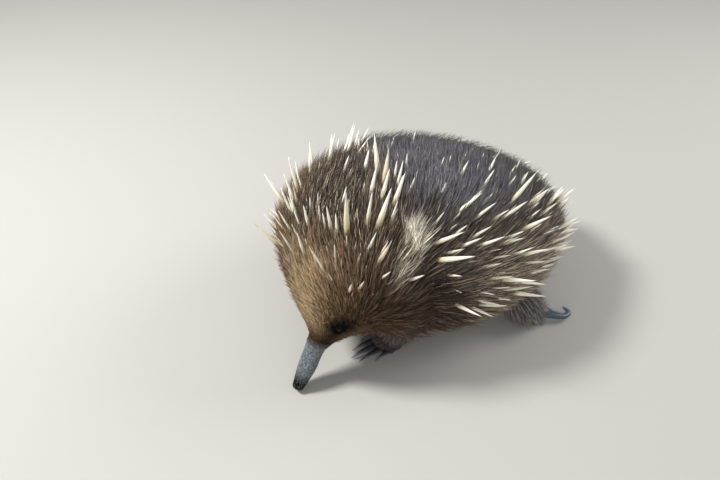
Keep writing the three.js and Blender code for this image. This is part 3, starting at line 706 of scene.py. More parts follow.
def growCoat(name, coat):
    rng = np.random.default_rng(coat["seed"])
    count, shares = coat["count"], coat["shares"]
    place, angle = spotsOver(coat["from"], coat["to"], coat["density"], count, coat["seed"] * 1000)
    order = np.argsort(place)
    place, angle = place[order], angle[order]
    root = skinPoint(place, angle)
    lift = (coatLift(place, angle) + rng.normal(size=count) * coat["liftVaries"]
            + swirl(root, coatRules["liftSwirl"], coat["swirl"], coat["seed"]) + coat["raised"]) * degree
    lift = np.clip(lift, coatRules["lift"][0] * degree, coatRules["lift"][1] * degree)
    turn = (coatTurn(place, angle) + rng.normal(size=count) * coat["turnVaries"]
            + swirl(root, coatRules["turnSwirl"], coat["swirl"], coat["seed"] + 1)) * degree
    # The coat stands fuller on the neck and shoulders than on the rump
    fuller = mix(0.86, 1.12, smooth(3.2, 5.2, place) * smooth(-0.1, 0.6, np.sin(angle)))
    tall = skinDepth(place, angle) * (coat["tall"] * fuller + (rng.random(count) - 0.5) * coat["tallVaries"])
    tall = np.maximum(tall, coat["least"])
    counted = np.maximum(lift, coatRules["flattest"] * degree)
    length = np.minimum(tall / np.sin(counted), coat["longest"])
    length = length * mix(0.36, 1, smooth(0.1, 1.6, place))
    path, outward = coatPath(place, angle, length, lift, turn, shares)
    width = coat["width"] * (0.7 + rng.random(count) * 0.6) * np.clip(length / coat["fullLength"], 0.35, 1)
    chance = rng.random(count)
    tone = coatTone(place, angle, chance)
    if coat["tone"]:
        share = coat["toneShare"] * (1 - paleTuft(place, angle))
        tone = mix(tone, toneTable[coat["tone"]][None], share[:, None, None])
    tone = tone * (0.32 + 1.4 * rng.random(count) ** 1.2)[:, None, None]
    roll = rng.normal(size=count) * 0.5
    keep = (path[:, :, 2] > coatRules["offFloor"]).all(1) & clearOfEyes(path, coatRules["eyeRoom"])
    addCoat(name, path[keep], outward[keep], width[keep], coat["flatness"], coat["profile"], roll[keep],
            tone[keep], shares, bodyCorner(place[keep], angle[keep]))


def evenly(place, angle):
    return 1.0 + 0 * place


def torsoDensity(place, angle):
    return 1 - 0.55 * smooth(0.5, 0.9, -np.sin(angle))


def faceDensity(place, angle):
    return 1 + 1.2 * smooth(7.2, 8.4, place)


def guardDensity(place, angle):
    return 0.1 + smooth(-0.3, 0.5, np.sin(angle))


def cheekDensity(place, angle):
    return 0.05 + smooth(0.25, 0.6, np.abs(np.cos(angle))) * smooth(-0.9, -0.4, np.sin(angle))


def bristleDensity(place, angle):
    high = np.sin(angle)
    low = smooth(-0.75, -0.4, high) * (1 - smooth(0.2, 0.75, high)) * smooth(0.9, 2.0, place)
    return low * (1 - smooth(4.3, 5.0, place)) + 0.25 * smooth(5, 5.6, place) * smooth(0, 0.5, high) + 0.02


def paleDensity(place, angle):
    return paleTuft(place, angle) + 1e-6


# Lengths and widths in millimetres, lifts, turns and swirl in degrees, tall as a share of the coat's depth
longTufts = {"shares": [0, 0.3, 0.65, 1], "profile": [0.85, 1.0, 0.7]}
shortTufts = {"shares": [0, 0.5, 1], "profile": [0.9, 0.85]}
usualCoat = {**longTufts, "raised": 0, "flatness": 0.7, "slot": "coat", "tone": None}
coats = {
    "long_coat": {"from": 0.12, "to": 5.3, "count": 32000, "seed": 3, "density": torsoDensity,
                  "liftVaries": 5, "turnVaries": 6, "swirl": 3.5, "tall": 0.86, "tallVaries": 0.36,
                  "least": 3, "longest": 56, "width": 1.0, "fullLength": 30, "flatness": 0.6},
    "neck_coat": {"from": 5.1, "to": 6.9, "count": 14000, "seed": 5, "density": evenly,
                  "liftVaries": 6, "turnVaries": 7, "swirl": 4, "tall": 0.9, "tallVaries": 0.4,
                  "least": 3, "longest": 48, "width": 0.85, "fullLength": 26, "flatness": 0.6},
    "face_fur": {"from": 6.75, "to": 8.98, "count": 27000, "seed": 7, "density": faceDensity,
                 "liftVaries": 5, "turnVaries": 5, "swirl": 2.5, "tall": 0.92, "tallVaries": 0.5,
                 "least": 1.1, "longest": 30, "width": 0.62, "fullLength": 15, "flatness": 0.6,
                 "slot": "face_fur", **shortTufts},
    "guard_hair": {"from": 0.4, "to": 6.7, "count": 7500, "seed": 13, "density": guardDensity,
                   "liftVaries": 7, "turnVaries": 7, "swirl": 2, "tall": 1.12, "tallVaries": 0.4,
                   "least": 5, "longest": 66, "width": 0.8, "fullLength": 30,
                   "tone": "guard", "toneShare": 0.6},
    "bristles": {"from": 0.9, "to": 6.4, "count": 6500, "seed": 17, "density": bristleDensity,
                 "liftVaries": 5, "turnVaries": 6, "swirl": 1, "tall": 0.98, "tallVaries": 0.3,
                 "least": 5, "longest": 60, "width": 1.0, "fullLength": 26,
                 "tone": "bristle", "toneShare": 0.8},
    "pale_tuft": {"from": 4.6, "to": 5.7, "count": 1700, "seed": 19, "density": paleDensity,
                  "liftVaries": 5, "turnVaries": 7, "swirl": 1, "tall": 1.1, "tallVaries": 0.4,
                  "least": 5, "longest": 54, "width": 1.0, "fullLength": 26},
    "cheek_hair": {"from": 5.6, "to": 8.5, "count": 5400, "seed": 23, "density": cheekDensity, "raised": 8,
                   "liftVaries": 7, "turnVaries": 6, "swirl": 2, "tall": 1.25, "tallVaries": 0.6,
                   "least": 4, "longest": 40, "width": 0.75, "fullLength": 24, "slot": "face_fur",
                   "tone": "cheek", "toneShare": 0.6},
}
for name, coat in coats.items():
    growCoat(name, {**usualCoat, **coat})

# Limbs and tail as the hide shows them. The right ones stand elsewhere than the left by rightMoves
limbs = {
    "fore": {"hip": (62, -30, 52), "knee": (74, -44, 30), "paw": (72, -52, 9), "heading": 8,
             "size": (17, 20, 13)},
    "hind": {"hip": (66, 78, 50), "knee": (84, 90, 30), "paw": (87, 100, 8), "heading": 158,
             "size": (14, 19, 12)},
}
rightMoves = {"fore": (-4, 6), "hind": (6, -4)}
limbForm = {"hip": 1.35, "ankle": 0.72, "furAtHip": 5, "furAtPaw": 1.6, "knuckle": (3.6, 5.5, 4.4)}
tail = {"from": (0, 138, 42), "to": (2, 173, 34), "root": 17, "tip": 5, "coat": 2.2}
# Length, width and height of each claw, and which one is hooked
clawSizes = {
    "fore": [(17, 5, 4), (25, 6.6, 4.4), (28, 7.2, 4.6), (25, 6.6, 4.4), (16, 5, 4)],
    "hind": [(12, 5, 4), (46, 7.2, 6.2), (30, 5.4, 4.6), (17, 4.8, 4.2), (12, 4.4, 4)],
}
clawRanges = {"fore": {"hook": -1, "spread": 3}, "hind": {"hook": 1, "spread": 5}}


def pawFrame(kind, sign):
    # The joints of a limb, the directions of its paw and the paw's size
    limb = limbs[kind]

    def place(point):
        x, y, z = point
        if sign > 0:
            return np.array([x, y, z], float)
        middle = 12 * smooth(60, -45, y)
        moved = rightMoves[kind]
        return np.array([2 * middle - x + moved[0], y + moved[1], z], float)

    turn = sign * limb["heading"] * degree
    axes = np.array([[math.cos(turn), math.sin(turn), 0], [-math.sin(turn), math.cos(turn), 0], [0, 0, 1]])
    frame = {key: place(limb[key]) for key in ("hip", "knee", "paw")}
    return {**frame, "axes": axes, "size": np.array(limb["size"], float), "sign": sign, "kind": kind}


def clawPlace(paw, index, forward, sideways, up):
    # A point forward of the root of a claw, in the directions of that claw
    sizes = clawSizes[paw["kind"]]
    wide, long = paw["size"][:2]
    pitch = 2 * wide * 0.76 / (len(sizes) - 1)
    across = paw["sign"] * (index - 2) * pitch
    fan = paw["sign"] * (index - 2) * clawRanges[paw["kind"]]["spread"] * degree
    edge = long * math.sqrt(1 - (across / wide) ** 2)
    local = np.array([across + paw["sign"] * sideways + forward * math.sin(fan),
                      4 - edge - forward * math.cos(fan), up])
    return local @ paw["axes"] + np.array([paw["paw"][0], paw["paw"][1], 0])


def legSize(paw):
    wide = paw["size"][0]
    return lambda share: (mix(wide * limbForm["hip"] - limbForm["furAtHip"],
                              wide * limbForm["ankle"] - limbForm["furAtPaw"], share),) * 2


def tailSize(share):
    wide = mix(tail["root"], tail["tip"], share**1.4)
    return wide - tail["coat"], wide * 0.8 - tail["coat"]


paws = [pawFrame(kind, sign) for kind in ("fore", "hind") for sign in (1, -1)]
tailFrom, tailTo = np.array(tail["from"], float), np.array(tail["to"], float)
hideForm = {"rows": 190, "sides": 120, "end": 9.25, "lowest": 0.35, "voxel": 0.0017, "relax": (0.5, 6)}
places = np.linspace(0, hideForm["end"], hideForm["rows"])[:, None] + np.zeros(hideForm["sides"])
angles = np.linspace(0, 2 * math.pi, hideForm["sides"], endpoint=False)[None] + 0 * places


def hideParts():
    # Body, legs, paws, knuckles and tail, each still a closed solid of its own
    sink = 0.9 * smooth(8.75, 9.0, places)
    parts = [loft(bodyPoint(places, angles, skinDepth(places, angles) + sink))]
    for paw in paws:
        parts.append(tube([paw["hip"], paw["knee"], paw["paw"]], 32, 24, legSize(paw), (0, 1, 0)))
        parts.append(ball(paw["paw"], paw["size"] - limbForm["furAtPaw"], paw["axes"], 40, 28))
        for index in range(5):
            knuckle = clawPlace(paw, index, -3.5, 0, 6.6)
            parts.append(ball(knuckle, limbForm["knuckle"], paw["axes"], 20, 12))
    parts.append(tube([tailFrom, (tailFrom + tailTo) / 2, tailTo], 32, 20, tailSize))
    return joined(parts)


def pointValues(mesh, field):
    values = np.empty(len(mesh.vertices) * 3, np.float32)
    mesh.vertices.foreach_get(field, values)
    return values.reshape(-1, 3)


def makeHide():
    # One skin without seams round all the parts, smoothed a little
    points, faces = hideParts()
    points[:, 2] = np.maximum(points[:, 2], hideForm["lowest"])
    rough = meshPiece("rough_hide", points, faces, hide)
    remesh = rough.modifiers.new("remesh", "REMESH")
    remesh.mode, remesh.voxel_size, remesh.use_smooth_shade = "VOXEL", hideForm["voxel"], True
    relax = rough.modifiers.new("relax", "SMOOTH")
    relax.factor, relax.iterations = hideForm["relax"]
    evaluated = rough.evaluated_get(bpy.context.evaluated_depsgraph_get())
    mesh = bpy.data.meshes.new_from_object(evaluated)
    bpy.data.objects.remove(rough)
    skin = addObject("hide", mesh)
    mesh.polygons.foreach_set("use_smooth", np.ones(len(mesh.polygons), dtype=bool))
    mesh.name = "hide"
    mesh.materials.clear()
    mesh.materials.append(hide)
    spots = pointValues(mesh, "co") * 1000.0 - shift
    spots[:, 2] = np.maximum(spots[:, 2], hideForm["lowest"])
    normals = pointValues(mesh, "normal")
    mesh.vertices.foreach_set("co", ((spots + shift) * 0.001).astype(np.float32).ravel())
    print("hide", len(mesh.polygons), "faces")
    return skin, spots, normals


def nearestOnBody(points):
    # Place and angle of the nearest point of the bare body, and the distance to it
    tree = KDTree(places.size)
    for index, point in enumerate(skinPoint(places, angles).reshape(-1, 3)):
        tree.insert(point, index)
    tree.balance()
    nearest = np.array([tree.find(point)[1:] for point in points])
    index = nearest[:, 0].astype(int)
    return places.ravel()[index], angles.ravel()[index], nearest[:, 1]


def alongPath(points, path):
    # Share along a path, distance from it and its direction there
    best = None
    path = [np.array(point, float) for point in path]
    for index, (start, end) in enumerate(zip(path, path[1:])):
        line = end - start
        t = np.clip(((points - start) @ line) / (line @ line), 0, 1)
        away = np.linalg.norm(points - (start + t[:, None] * line), axis=1)
        found = [(index + t) / (len(path) - 1), away, np.repeat(unit(line)[None], len(points), 0)]
        if best is None:
            best = found
            continue
        closer = away < best[1]
        for field, value in enumerate(found):
            best[field] = np.where(closer[:, None] if value.ndim > 1 else closer, value, best[field])
    return best


tailIndex = 4
offBody = 2.2  # millimetres from the bare body, past which the hide can be of a limb or the tail


def limbsOfHide():
    # Which limb or tail each point of the hide is of, its share along that, and the direction of its fur
    onLimb = np.full(len(spots), -1)
    limbShare = np.zeros(len(spots))
    limbAlong = np.zeros((len(spots), 3))
    for index, paw in enumerate(paws):
        share, away, along = alongPath(spots, [paw["hip"], paw["knee"], paw["paw"]])
        front = -paw["axes"][1]
        pawAway = np.linalg.norm((spots - paw["paw"]) @ paw["axes"].T / (paw["size"] + 4), axis=1)
        nearLeg = away < mix(paw["size"][0] * limbForm["hip"], paw["size"][0] * 0.8, share) + 2
        mine = (bodyGap > offBody) & (nearLeg | (pawAway < 1.15))
        onPaw = pawAway < 1.1
        onLimb[mine] = index
        limbShare[mine] = np.where(onPaw[mine], 1.0, share[mine])
        limbAlong[mine] = np.where(onPaw[:, None], front[None] + np.array([0, 0, -0.25]), along)[mine]
    share, away, along = alongPath(spots, [tailFrom, tailTo])
    mine = (bodyGap > offBody) & (onLimb < 0) & (away < 18)
    onLimb[mine] = tailIndex
    limbShare[mine] = share[mine]
    limbAlong[mine] = along[mine]
    return onLimb, limbShare, limbAlong


def paintHide():
    # The hide has the coat's colours, painted sheen and shade included, between root and middle
    tones = coatTone(spotPlace, spotAngle, np.full(len(spots), 0.4))
    colours = np.where((onLimb >= 0)[:, None], mix(toneTable["leg"][0], toneTable["leg"][1], 0.5),
                       mix(tones[:, 0], tones[:, 1], 0.35))
    paintPoints(skin.data, colours)


skin, spots, normals = makeHide()
spotPlace, spotAngle, bodyGap = nearestOnBody(spots)
onLimb, limbShare, limbAlong = limbsOfHide()
paintHide()
limbParts = ("foreleg", "forefoot", "hindleg", "hindfoot")
limbNames = [f"{part}_{side}" for part in limbParts for side in ("left", "right")]
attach(skin, "root")
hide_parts("head", "neck", "torso", "tail", *limbNames)

# Fur of the legs, feet and tail, rooted on the hide itself. Lengths run from the top of a limb to its end
limbCoat = {"fore": (15, 3.2), "hind": (24, 11), "tail": (14, 6), "width": 0.95, "lift": 26, "seed": 11,
            "streaked": 0.75, "droop": 0.12, "clawRoom": 4.2}


def growLimbFur():
    rng = np.random.default_rng(limbCoat["seed"])
    pick = np.where((onLimb >= 0) & (spots[:, 2] > 1.4) & (normals[:, 2] > -0.75))[0]
    number = len(pick)
    share = np.clip(limbShare[pick], 0, 1)
    isHind = (onLimb[pick] == 2) | (onLimb[pick] == 3)
    length = mix(*limbCoat["fore"], smooth(0.35, 1.0, share))
    length = np.where(isHind, mix(*limbCoat["hind"], smooth(0.6, 1.0, share)), length)
    length = np.where(onLimb[pick] == tailIndex, mix(*limbCoat["tail"], share), length)
    length = length * (0.75 + rng.random(number) * 0.5)
    normal = normals[pick]
    flow = limbAlong[pick] + rng.normal(size=(number, 3)) * 0.16
    flow = unit(flow - normal * (flow * normal).sum(1, keepdims=True))
    lift = (limbCoat["lift"] + rng.normal(size=number) * 6) * degree
    shares = np.array(longTufts["shares"])[None, :, None]
    root = spots[pick] - normal * 0.8
    path = (root[:, None] + flow[:, None] * (length * np.cos(lift))[:, None, None] * shares
            + normal[:, None] * (length * np.sin(lift))[:, None, None] * shares**0.7)
    path[:, :, 2] -= (length * limbCoat["droop"])[:, None] * shares[..., 0] ** 2
    keep = (path[:, :, 2] > 0.5).all(1)
    for paw in paws:
        for index in range(5):
            away = np.linalg.norm(path - clawPlace(paw, index, 4, 0, 6.5), axis=-1)
            keep &= (away >= limbCoat["clawRoom"]).all(1)
    chance = rng.random(number)
    streaked = np.where(isHind, smooth(0.45, 0.55, chance), smooth(0.85, 0.9, chance)) * limbCoat["streaked"]
    leg, streak = toneTable["leg"][None], toneTable["streak"][None]
    tone = leg + (streak - leg) * streaked[:, None, None]
    tone = tone * (0.65 + rng.random(number) * 0.7)[:, None, None]
    width = limbCoat["width"] * (0.7 + rng.random(number) * 0.6) * np.clip(length / 9, 0.55, 1.1)
    roll = rng.normal(size=number) * 0.4
    # Beside the body's part of the unwrap, each limb has a strip of its own
    across = 0.66 + (onLimb[pick] % 5) * 0.06 + (spotAngle[pick] / (2 * math.pi) % 1) * 0.05
    corner = np.stack([across, 0.02 + share * 0.3], -1)
    addCoat("limb_fur", path[keep], normal[keep].astype(float), width[keep], 0.6, longTufts["profile"],
            roll[keep], tone[keep], longTufts["shares"], corner[keep])


growLimbFur()
bpy.context.view_layer.update()
print("coat grown")

# Spines, in fields between two places and two angles, with their spacing, length and width in
# millimetres and their lift in degrees. Rise turns the lie of a field further up the flank
spineAreas = [
    {"from": 0.38, "to": 1.3, "low": -14, "high": 194, "spacing": 11, "length": 42, "width": 3.7, "lift": 42},
    {"from": 1.35, "to": 4.75, "low": 62, "high": 122, "spacing": 20, "length": 40, "width": 3.4, "lift": 58},
    {"from": 1.35, "to": 3.7, "low": 0, "high": 60, "spacing": 13, "length": 58, "width": 4.4, "lift": 36},
    {"from": 1.35, "to": 3.7, "low": 124, "high": 180, "spacing": 14, "length": 48, "width": 4.2, "lift": 36},
    {"from": 3.7, "to": 4.75, "low": 2, "high": 60, "spacing": 13, "length": 52, "width": 3.8, "lift": 38},
    {"from": 3.7, "to": 4.7, "low": 124, "high": 168, "spacing": 16, "length": 46, "width": 3.8, "lift": 38},
    {"from": 1.3, "to": 4.3, "low": -9, "high": 6, "spacing": 10.5, "length": 56, "width": 3.3, "lift": 31,
     "rise": 25},
    {"from": 1.3, "to": 4.3, "low": 174, "high": 189, "spacing": 10.5, "length": 56, "width": 3.3, "lift": 31,
     "rise": -25},
    {"from": 4.8, "to": 6.3, "low": 27, "high": 92, "spacing": 13.5, "length": 76, "width": 5.2, "lift": 48},
    {"from": 4.8, "to": 6.3, "low": 92, "high": 117, "spacing": 14, "length": 54, "width": 4.1, "lift": 44},
    {"from": 4.8, "to": 6.3, "low": 117, "high": 160, "spacing": 9.6, "length": 66, "width": 4.1, "lift": 46},
    {"from": 6.3, "to": 6.9, "low": 30, "high": 92, "spacing": 10, "length": 44, "width": 2.6, "lift": 44},
    {"from": 6.3, "to": 7.0, "low": 92, "high": 155, "spacing": 9, "length": 56, "width": 3.1, "lift": 44},
]
spineShape = {
    "sides": 6, "rings": (0, 0.2, 0.45, 0.62, 0.8, 0.92), "widths": (0.5, 0.72, 1.0, 0.93, 0.6, 0.3),
    "bend": 0.05, "sunk": 5.0, "seed": 29,
    "varies": 0.75,  # how far spines stand off their rows, as a share of the spacing
    "darkTipped": 0.08,
}
# Shorter low on the shoulder and on the crown of the neck: share of the length at angles up from the side
neckFit = ((10, 22, 50, 64, 90), (0.55, 0.65, 1, 0.93, 0.7))
rumpFan = {"share": 0.5, "towards": unit(np.array([0.12, 0.93, 0.34]))}


def spotsInRows(area, rng):
    # Staggered rows round the body, one spacing apart
    places, angles = [], []
    step, fineStep, measuredAt = 0.02, 1.5, np.array([0.9])
    travelled, row = area["spacing"], 0
    place = area["to"]
    while place > area["from"]:
        if travelled >= area["spacing"]:
            travelled -= area["spacing"]
            row += 1
            fine = np.arange(area["low"], area["high"], fineStep) * degree
            wide = directions(np.full(fine.shape, place), fine, 0)[4] * fineStep * degree
            walked = np.cumsum(wide) / area["spacing"] + (0.9 if row % 2 else 0.4)
            marks = fine[np.where(np.diff(np.floor(walked)) > 0)[0]]
            places += [place] * len(marks)
            angles += marks.tolist()
        travelled += directions(np.array([place]), measuredAt, 0)[3][0] * step
        place -= step
    places, angles = np.array(places), np.array(angles)
    perPlace, perAngle = directions(places, angles, 0)[3:]
    spacing, varies = area["spacing"], spineShape["varies"]
    places = places + (rng.random(len(places)) - 0.5) * spacing * varies / perPlace
    angles = angles + (rng.random(len(angles)) - 0.5) * spacing * varies / perAngle
    return np.clip(places, area["from"], area["to"]), angles


def inPaleTuft(place, angle):
    pastFold, fromTop = creaseLine(place, angle), degreesFromTop(angle)
    return (pastFold > -0.12) & (pastFold < 0.62) & (fromTop > 20) & (fromTop < 62) & (np.cos(angle) > 0)


def spinePlan():
    # Root, turn, size, place on the unwrap and tone of every spine
    rng = np.random.default_rng(spineShape["seed"])
    roots, turns, sizes, corners, tones = [], [], [], [], []
    for area in spineAreas:
        place, angle = spotsInRows(area, rng)
        number = len(place)
        back, around, outward = directions(place, angle, skinDepth(place, angle))[:3]
        lift = (area["lift"] + rng.normal(size=number) * 6) * degree
        turn = (coatTurn(place, angle) + area.get("rise", 0) + rng.normal(size=number) * 6) * degree
        along = back * np.cos(turn)[:, None] + around * np.sin(turn)[:, None]
        fan = (1 - smooth(0.3, 1.5, place))[:, None] * rumpFan["share"]
        along = unit(along * (1 - fan) + rumpFan["towards"] * fan)
        ahead = unit(along * np.cos(lift)[:, None] + outward * np.sin(lift)[:, None])
        size = rng.random(number) ** 1.2
        length = area["length"] * (0.62 + 0.42 * size + rng.random(number) * 0.08)
        width = area["width"] * (0.5 + 0.55 * size + rng.random(number) * 0.12)
        fitted = np.interp(np.arcsin(np.sin(angle)) / degree, *neckFit)
        length = length * mix(1, fitted, smooth(4.7, 5.2, place))
        root = skinPoint(place, angle) - outward * spineShape["sunk"]
        side = unit(np.cross(outward, ahead))
        rise = np.cross(ahead, side)
        tip = root + ahead * length[:, None]
        clear = clearOfEyes(np.stack([root, tip], 1), coatRules["spineEyeRoom"])
        keep = (tip[:, 2] > 2.5) & clear & ~inPaleTuft(place, angle)
        for index in np.where(keep)[0]:
            basis = Matrix((side[index], rise[index], ahead[index])).transposed()
            roots.append(root[index])
            turns.append(tuple(basis.to_euler("XYZ")))
            sizes.append((width[index], width[index], length[index]))
            corners.append(bodyCorner(place[index], angle[index]))
            tones.append(0.55 if rng.random() < spineShape["darkTipped"] else rng.random() * 0.14)
    return [np.array(values) for values in (roots, turns, sizes, corners, tones)]


def spineTemplate():
    # One slightly bent spine, 1 wide and 1 long
    sides = spineShape["sides"]
    angle = np.linspace(0, 2 * math.pi, sides, endpoint=False)
    rings = []
    for share, wide in zip(spineShape["rings"], spineShape["widths"]):
        bend = spineShape["bend"] * 4 * share * (1 - share) * 8
        across, rise = np.cos(angle) * wide / 2, np.sin(angle) * wide / 2 + bend
        rings.append(np.stack([across, rise, 0 * angle + share], -1))
    points, faces = loft(np.array(rings), np.array([0.0, 0.0, 1.0]))
    mesh = bpy.data.meshes.new("spine_template")
    mesh.from_pydata(points.tolist(), [], faces.tolist())
    mesh.polygons.foreach_set("use_smooth", np.ones(len(faces), dtype=bool))
    share = mesh.attributes.new("spineShare", "FLOAT", "POINT")
    share.data.foreach_set("value", points[:, 2].astype(np.float32))
    return addObject("spine_template", mesh)


def spineNodes():
    # Puts the template on every point, turned and sized by the point's own attributes
    tree = bpy.data.node_groups.new("spines on points", "GeometryNodeTree")
    tree.interface.new_socket("Geometry", in_out="INPUT", socket_type="NodeSocketGeometry")
    tree.interface.new_socket("Spine", in_out="INPUT", socket_type="NodeSocketObject")
    tree.interface.new_socket("Thickness", in_out="INPUT", socket_type="NodeSocketFloat")
    tree.interface.new_socket("Geometry", in_out="OUTPUT", socket_type="NodeSocketGeometry")
    given = addNode(tree, "NodeGroupInput")
    shape = addNode(tree, "GeometryNodeObjectInfo", links={"Object": given.outputs["Spine"]})
    turn = addNode(tree, "GeometryNodeInputNamedAttribute",
                   {"data_type": "FLOAT_VECTOR", "Name": "spineTurn"})
    scale = addNode(tree, "GeometryNodeInputNamedAttribute",
                    {"data_type": "FLOAT_VECTOR", "Name": "spineSize"})
    thickness = given.outputs["Thickness"]
    thick = addNode(tree, "ShaderNodeCombineXYZ", {"Z": 1.0}, {"X": thickness, "Y": thickness})
    sized = addNode(tree, "ShaderNodeVectorMath", {"operation": "MULTIPLY"},
                    {0: scale.outputs["Attribute"], 1: thick.outputs["Vector"]})
    points = addNode(tree, "GeometryNodeMeshToPoints", links={"Mesh": given.outputs["Geometry"]})
    placed = addNode(tree, "GeometryNodeInstanceOnPoints",
                     links={"Points": points.outputs["Points"], "Instance": shape.outputs["Geometry"],
                            "Rotation": turn.outputs["Attribute"], "Scale": sized.outputs["Vector"]})
    real = addNode(tree, "GeometryNodeRealizeInstances", links={"Geometry": placed.outputs["Instances"]})
    painted = addNode(tree, "GeometryNodeSetMaterial", {"Material": spineHorn},
                      {"Geometry": real.outputs["Geometry"]})
    addNode(tree, "NodeGroupOutput", links={"Geometry": painted.outputs["Geometry"]})
    return tree


def spinePoints():
    # A cloud of points that carries the plan
    roots, turns, sizes, corners, tones = spinePlan()
    mesh = bpy.data.meshes.new("spine_points")
    mesh.from_pydata(((roots + shift) * 0.001).tolist(), [], [])
    for name, kind, field, values in (("spineTurn", "FLOAT_VECTOR", "vector", turns),
                                      ("spineSize", "FLOAT_VECTOR", "vector", sizes * 0.001),
                                      ("spineTone", "FLOAT", "value", tones),
                                      ("spineCorner", "FLOAT_VECTOR", "vector", np.c_[corners, 0 * tones])):
        layer = mesh.attributes.new(name, kind, "POINT")
        layer.data.foreach_set(field, np.asarray(values, np.float32).ravel())
    return mesh


def patchSpines(grown):
    # Each spine's patch on the unwrap of the hide
    number = len(grown.vertices)
    corner = np.empty(number * 3, np.float32)
    grown.attributes["spineCorner"].data.foreach_get("vector", corner)
    share = np.empty(number, np.float32)
    grown.attributes["spineShare"].data.foreach_get("value", share)
    loops = np.empty(len(grown.loops), np.int32)
    grown.loops.foreach_get("vertex_index", loops)
    local = np.stack([(np.arange(number) % spineShape["sides"]) / spineShape["sides"] - 0.5, share - 0.5], -1)
    patch = corner.reshape(-1, 3)[:, :2] + local * patchSize
    for layer in list(grown.uv_layers):
        grown.uv_layers.remove(layer)
    layer = grown.uv_layers.new(name="OFBake")
    layer.uv.foreach_set("vector", patch[loops].astype(np.float32).ravel())


def growSpines():
    mesh, template = spinePoints(), spineTemplate()
    grower = addObject("spine_grower", mesh)
    modifier = grower.modifiers.new("spines", "NODES")
    tree = spineNodes()
    modifier.node_group = tree
    inputs = {item.name: item.identifier for item in tree.interface.items_tree if item.in_out == "INPUT"}
    modifier[inputs["Spine"]] = template
    modifier[inputs["Thickness"]] = 1.0
    bpy.context.view_layer.update()
    evaluated = grower.evaluated_get(bpy.context.evaluated_depsgraph_get())
    grown = bpy.data.meshes.new_from_object(evaluated)
    grower.modifiers.clear()
    bpy.data.objects.remove(grower)
    bpy.data.objects.remove(template)
    patchSpines(grown)
    grown.name = "spines"
    spines = addObject("spines", grown)
    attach(spines, "root")
    print("spines", len(mesh.vertices), "with", len(grown.polygons), "faces")


growSpines()

# Beak: the bare snout, with nostrils and the line of the mouth near its tip
beak = {
    "from": 8.45, "rows": 190, "sides": 120,
    "dome": 3.4,  # length of the rounded end
    "nostrilAt": (4.4, 2.5),  # back from the tip's section, and to each side
    "nostrilHole": (1.6, 0.95), "nostrilDish": (2.6, 1.7),  # long and wide
    "mouthBack": 12.5, "mouthDrop": 1.1, "mouthDepth": 0.75,
}


def withNostrils(inset, back, side, rise):
    # On each side a hole with a rim, in a broader dish
    for sign in (1, -1):
        long, wide = back - beak["nostrilAt"][0], side - sign * beak["nostrilAt"][1]
        hole = (long / beak["nostrilHole"][0]) ** 2 + (wide / beak["nostrilHole"][1]) ** 2
        dish = (long / beak["nostrilDish"][0]) ** 2 + (wide / beak["nostrilDish"][1]) ** 2
        rim = np.exp(-((np.sqrt(hole) - 1.35) / 0.45) ** 2) * (rise > 1)
        inset = inset + (1.2 * np.exp(-hole**1.5) + 0.9 * np.exp(-dish)) * (rise > 0.6) - 0.4 * rim
    return inset


def mouthInset(back, rise):
    # A groove with a low lip above and below it
    fromLine = rise + beak["mouthDrop"]
    groove = beak["mouthDepth"] * np.exp(-(fromLine / 0.34) ** 2)
    lips = 0.32 * np.exp(-((np.abs(fromLine) - 0.85) / 0.5) ** 2)
    return (groove - lips) * (1 - smooth(beak["mouthBack"] - 2, beak["mouthBack"], back))


def makeBeak():
    last = len(bodyRows) - 1
    sides, rows = beak["sides"], beak["rows"]
    place = beak["from"] + (last - beak["from"]) * np.linspace(0, 1, rows) ** 0.8
    angle = np.linspace(0, 2 * math.pi, sides, endpoint=False)
    grid, around = place[:, None] + np.zeros(sides), angle[None] + np.zeros((rows, 1))
    over = 0.25 * smooth(beak["from"], 8.9, grid) - 0.8 * (1 - smooth(beak["from"], 8.6, grid))
    rings = bodyPoint(grid, around, skinDepth(grid, around) - over)
    row, front, left, top = sectionAt(np.array(float(last)))
    centre = row[:3]
    domes = [centre + (rings[-1] - centre) * math.cos(turn) + front * beak["dome"] * math.sin(turn)
             for turn in np.linspace(6, 84, 14) * degree]
    rings = np.concatenate([rings, np.array(domes)])
    tip = centre + front * beak["dome"]
    local = rings - centre
    back, side, rise = -(local @ front), local @ left, local @ top
    outward = unit(side[..., None] * left + rise[..., None] * top + 0.001 * top)
    wrinkle = 0.06 * np.sin(back * 2.1 + np.sin(around[:1] * 3) * 0.8) * smooth(4, 14, back)
    inset = withNostrils(mouthInset(back, rise), back, side, rise) + wrinkle
    points, faces = loft(rings - outward * inset[..., None], tip)
    tipPlace = tuple(((tip + shift) * 0.001).tolist())
    piece = meshPiece("beak_skin", points, faces, beakMaterial(tipPlace))
    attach(piece, "root")
    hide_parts("beak")
    print("beak made")


makeBeak()

# Eyes and their lids, an almond ring whose section runs over the lid and back under the hide
lids = {
    "slit": (4.0, 2.6), "almond": 0.16, "gap": 0.1, "tone": "#0e0a08",
    "section": ((1.0, 0.15), (1.0, 0.75), (1.22, 1.1), (1.5, 0.55), (1.75, -0.7), (1.95, -2.6),
                (1.5, -3.4), (1.1, -1.6)),
}


def enclosed(points, faces):
    # Six times the volume, below 0 where the faces point inwards
    a, b, c = (points[faces[:, k]] for k in range(3))
    return np.einsum("ij,ij->i", a, np.cross(b, c)).sum()


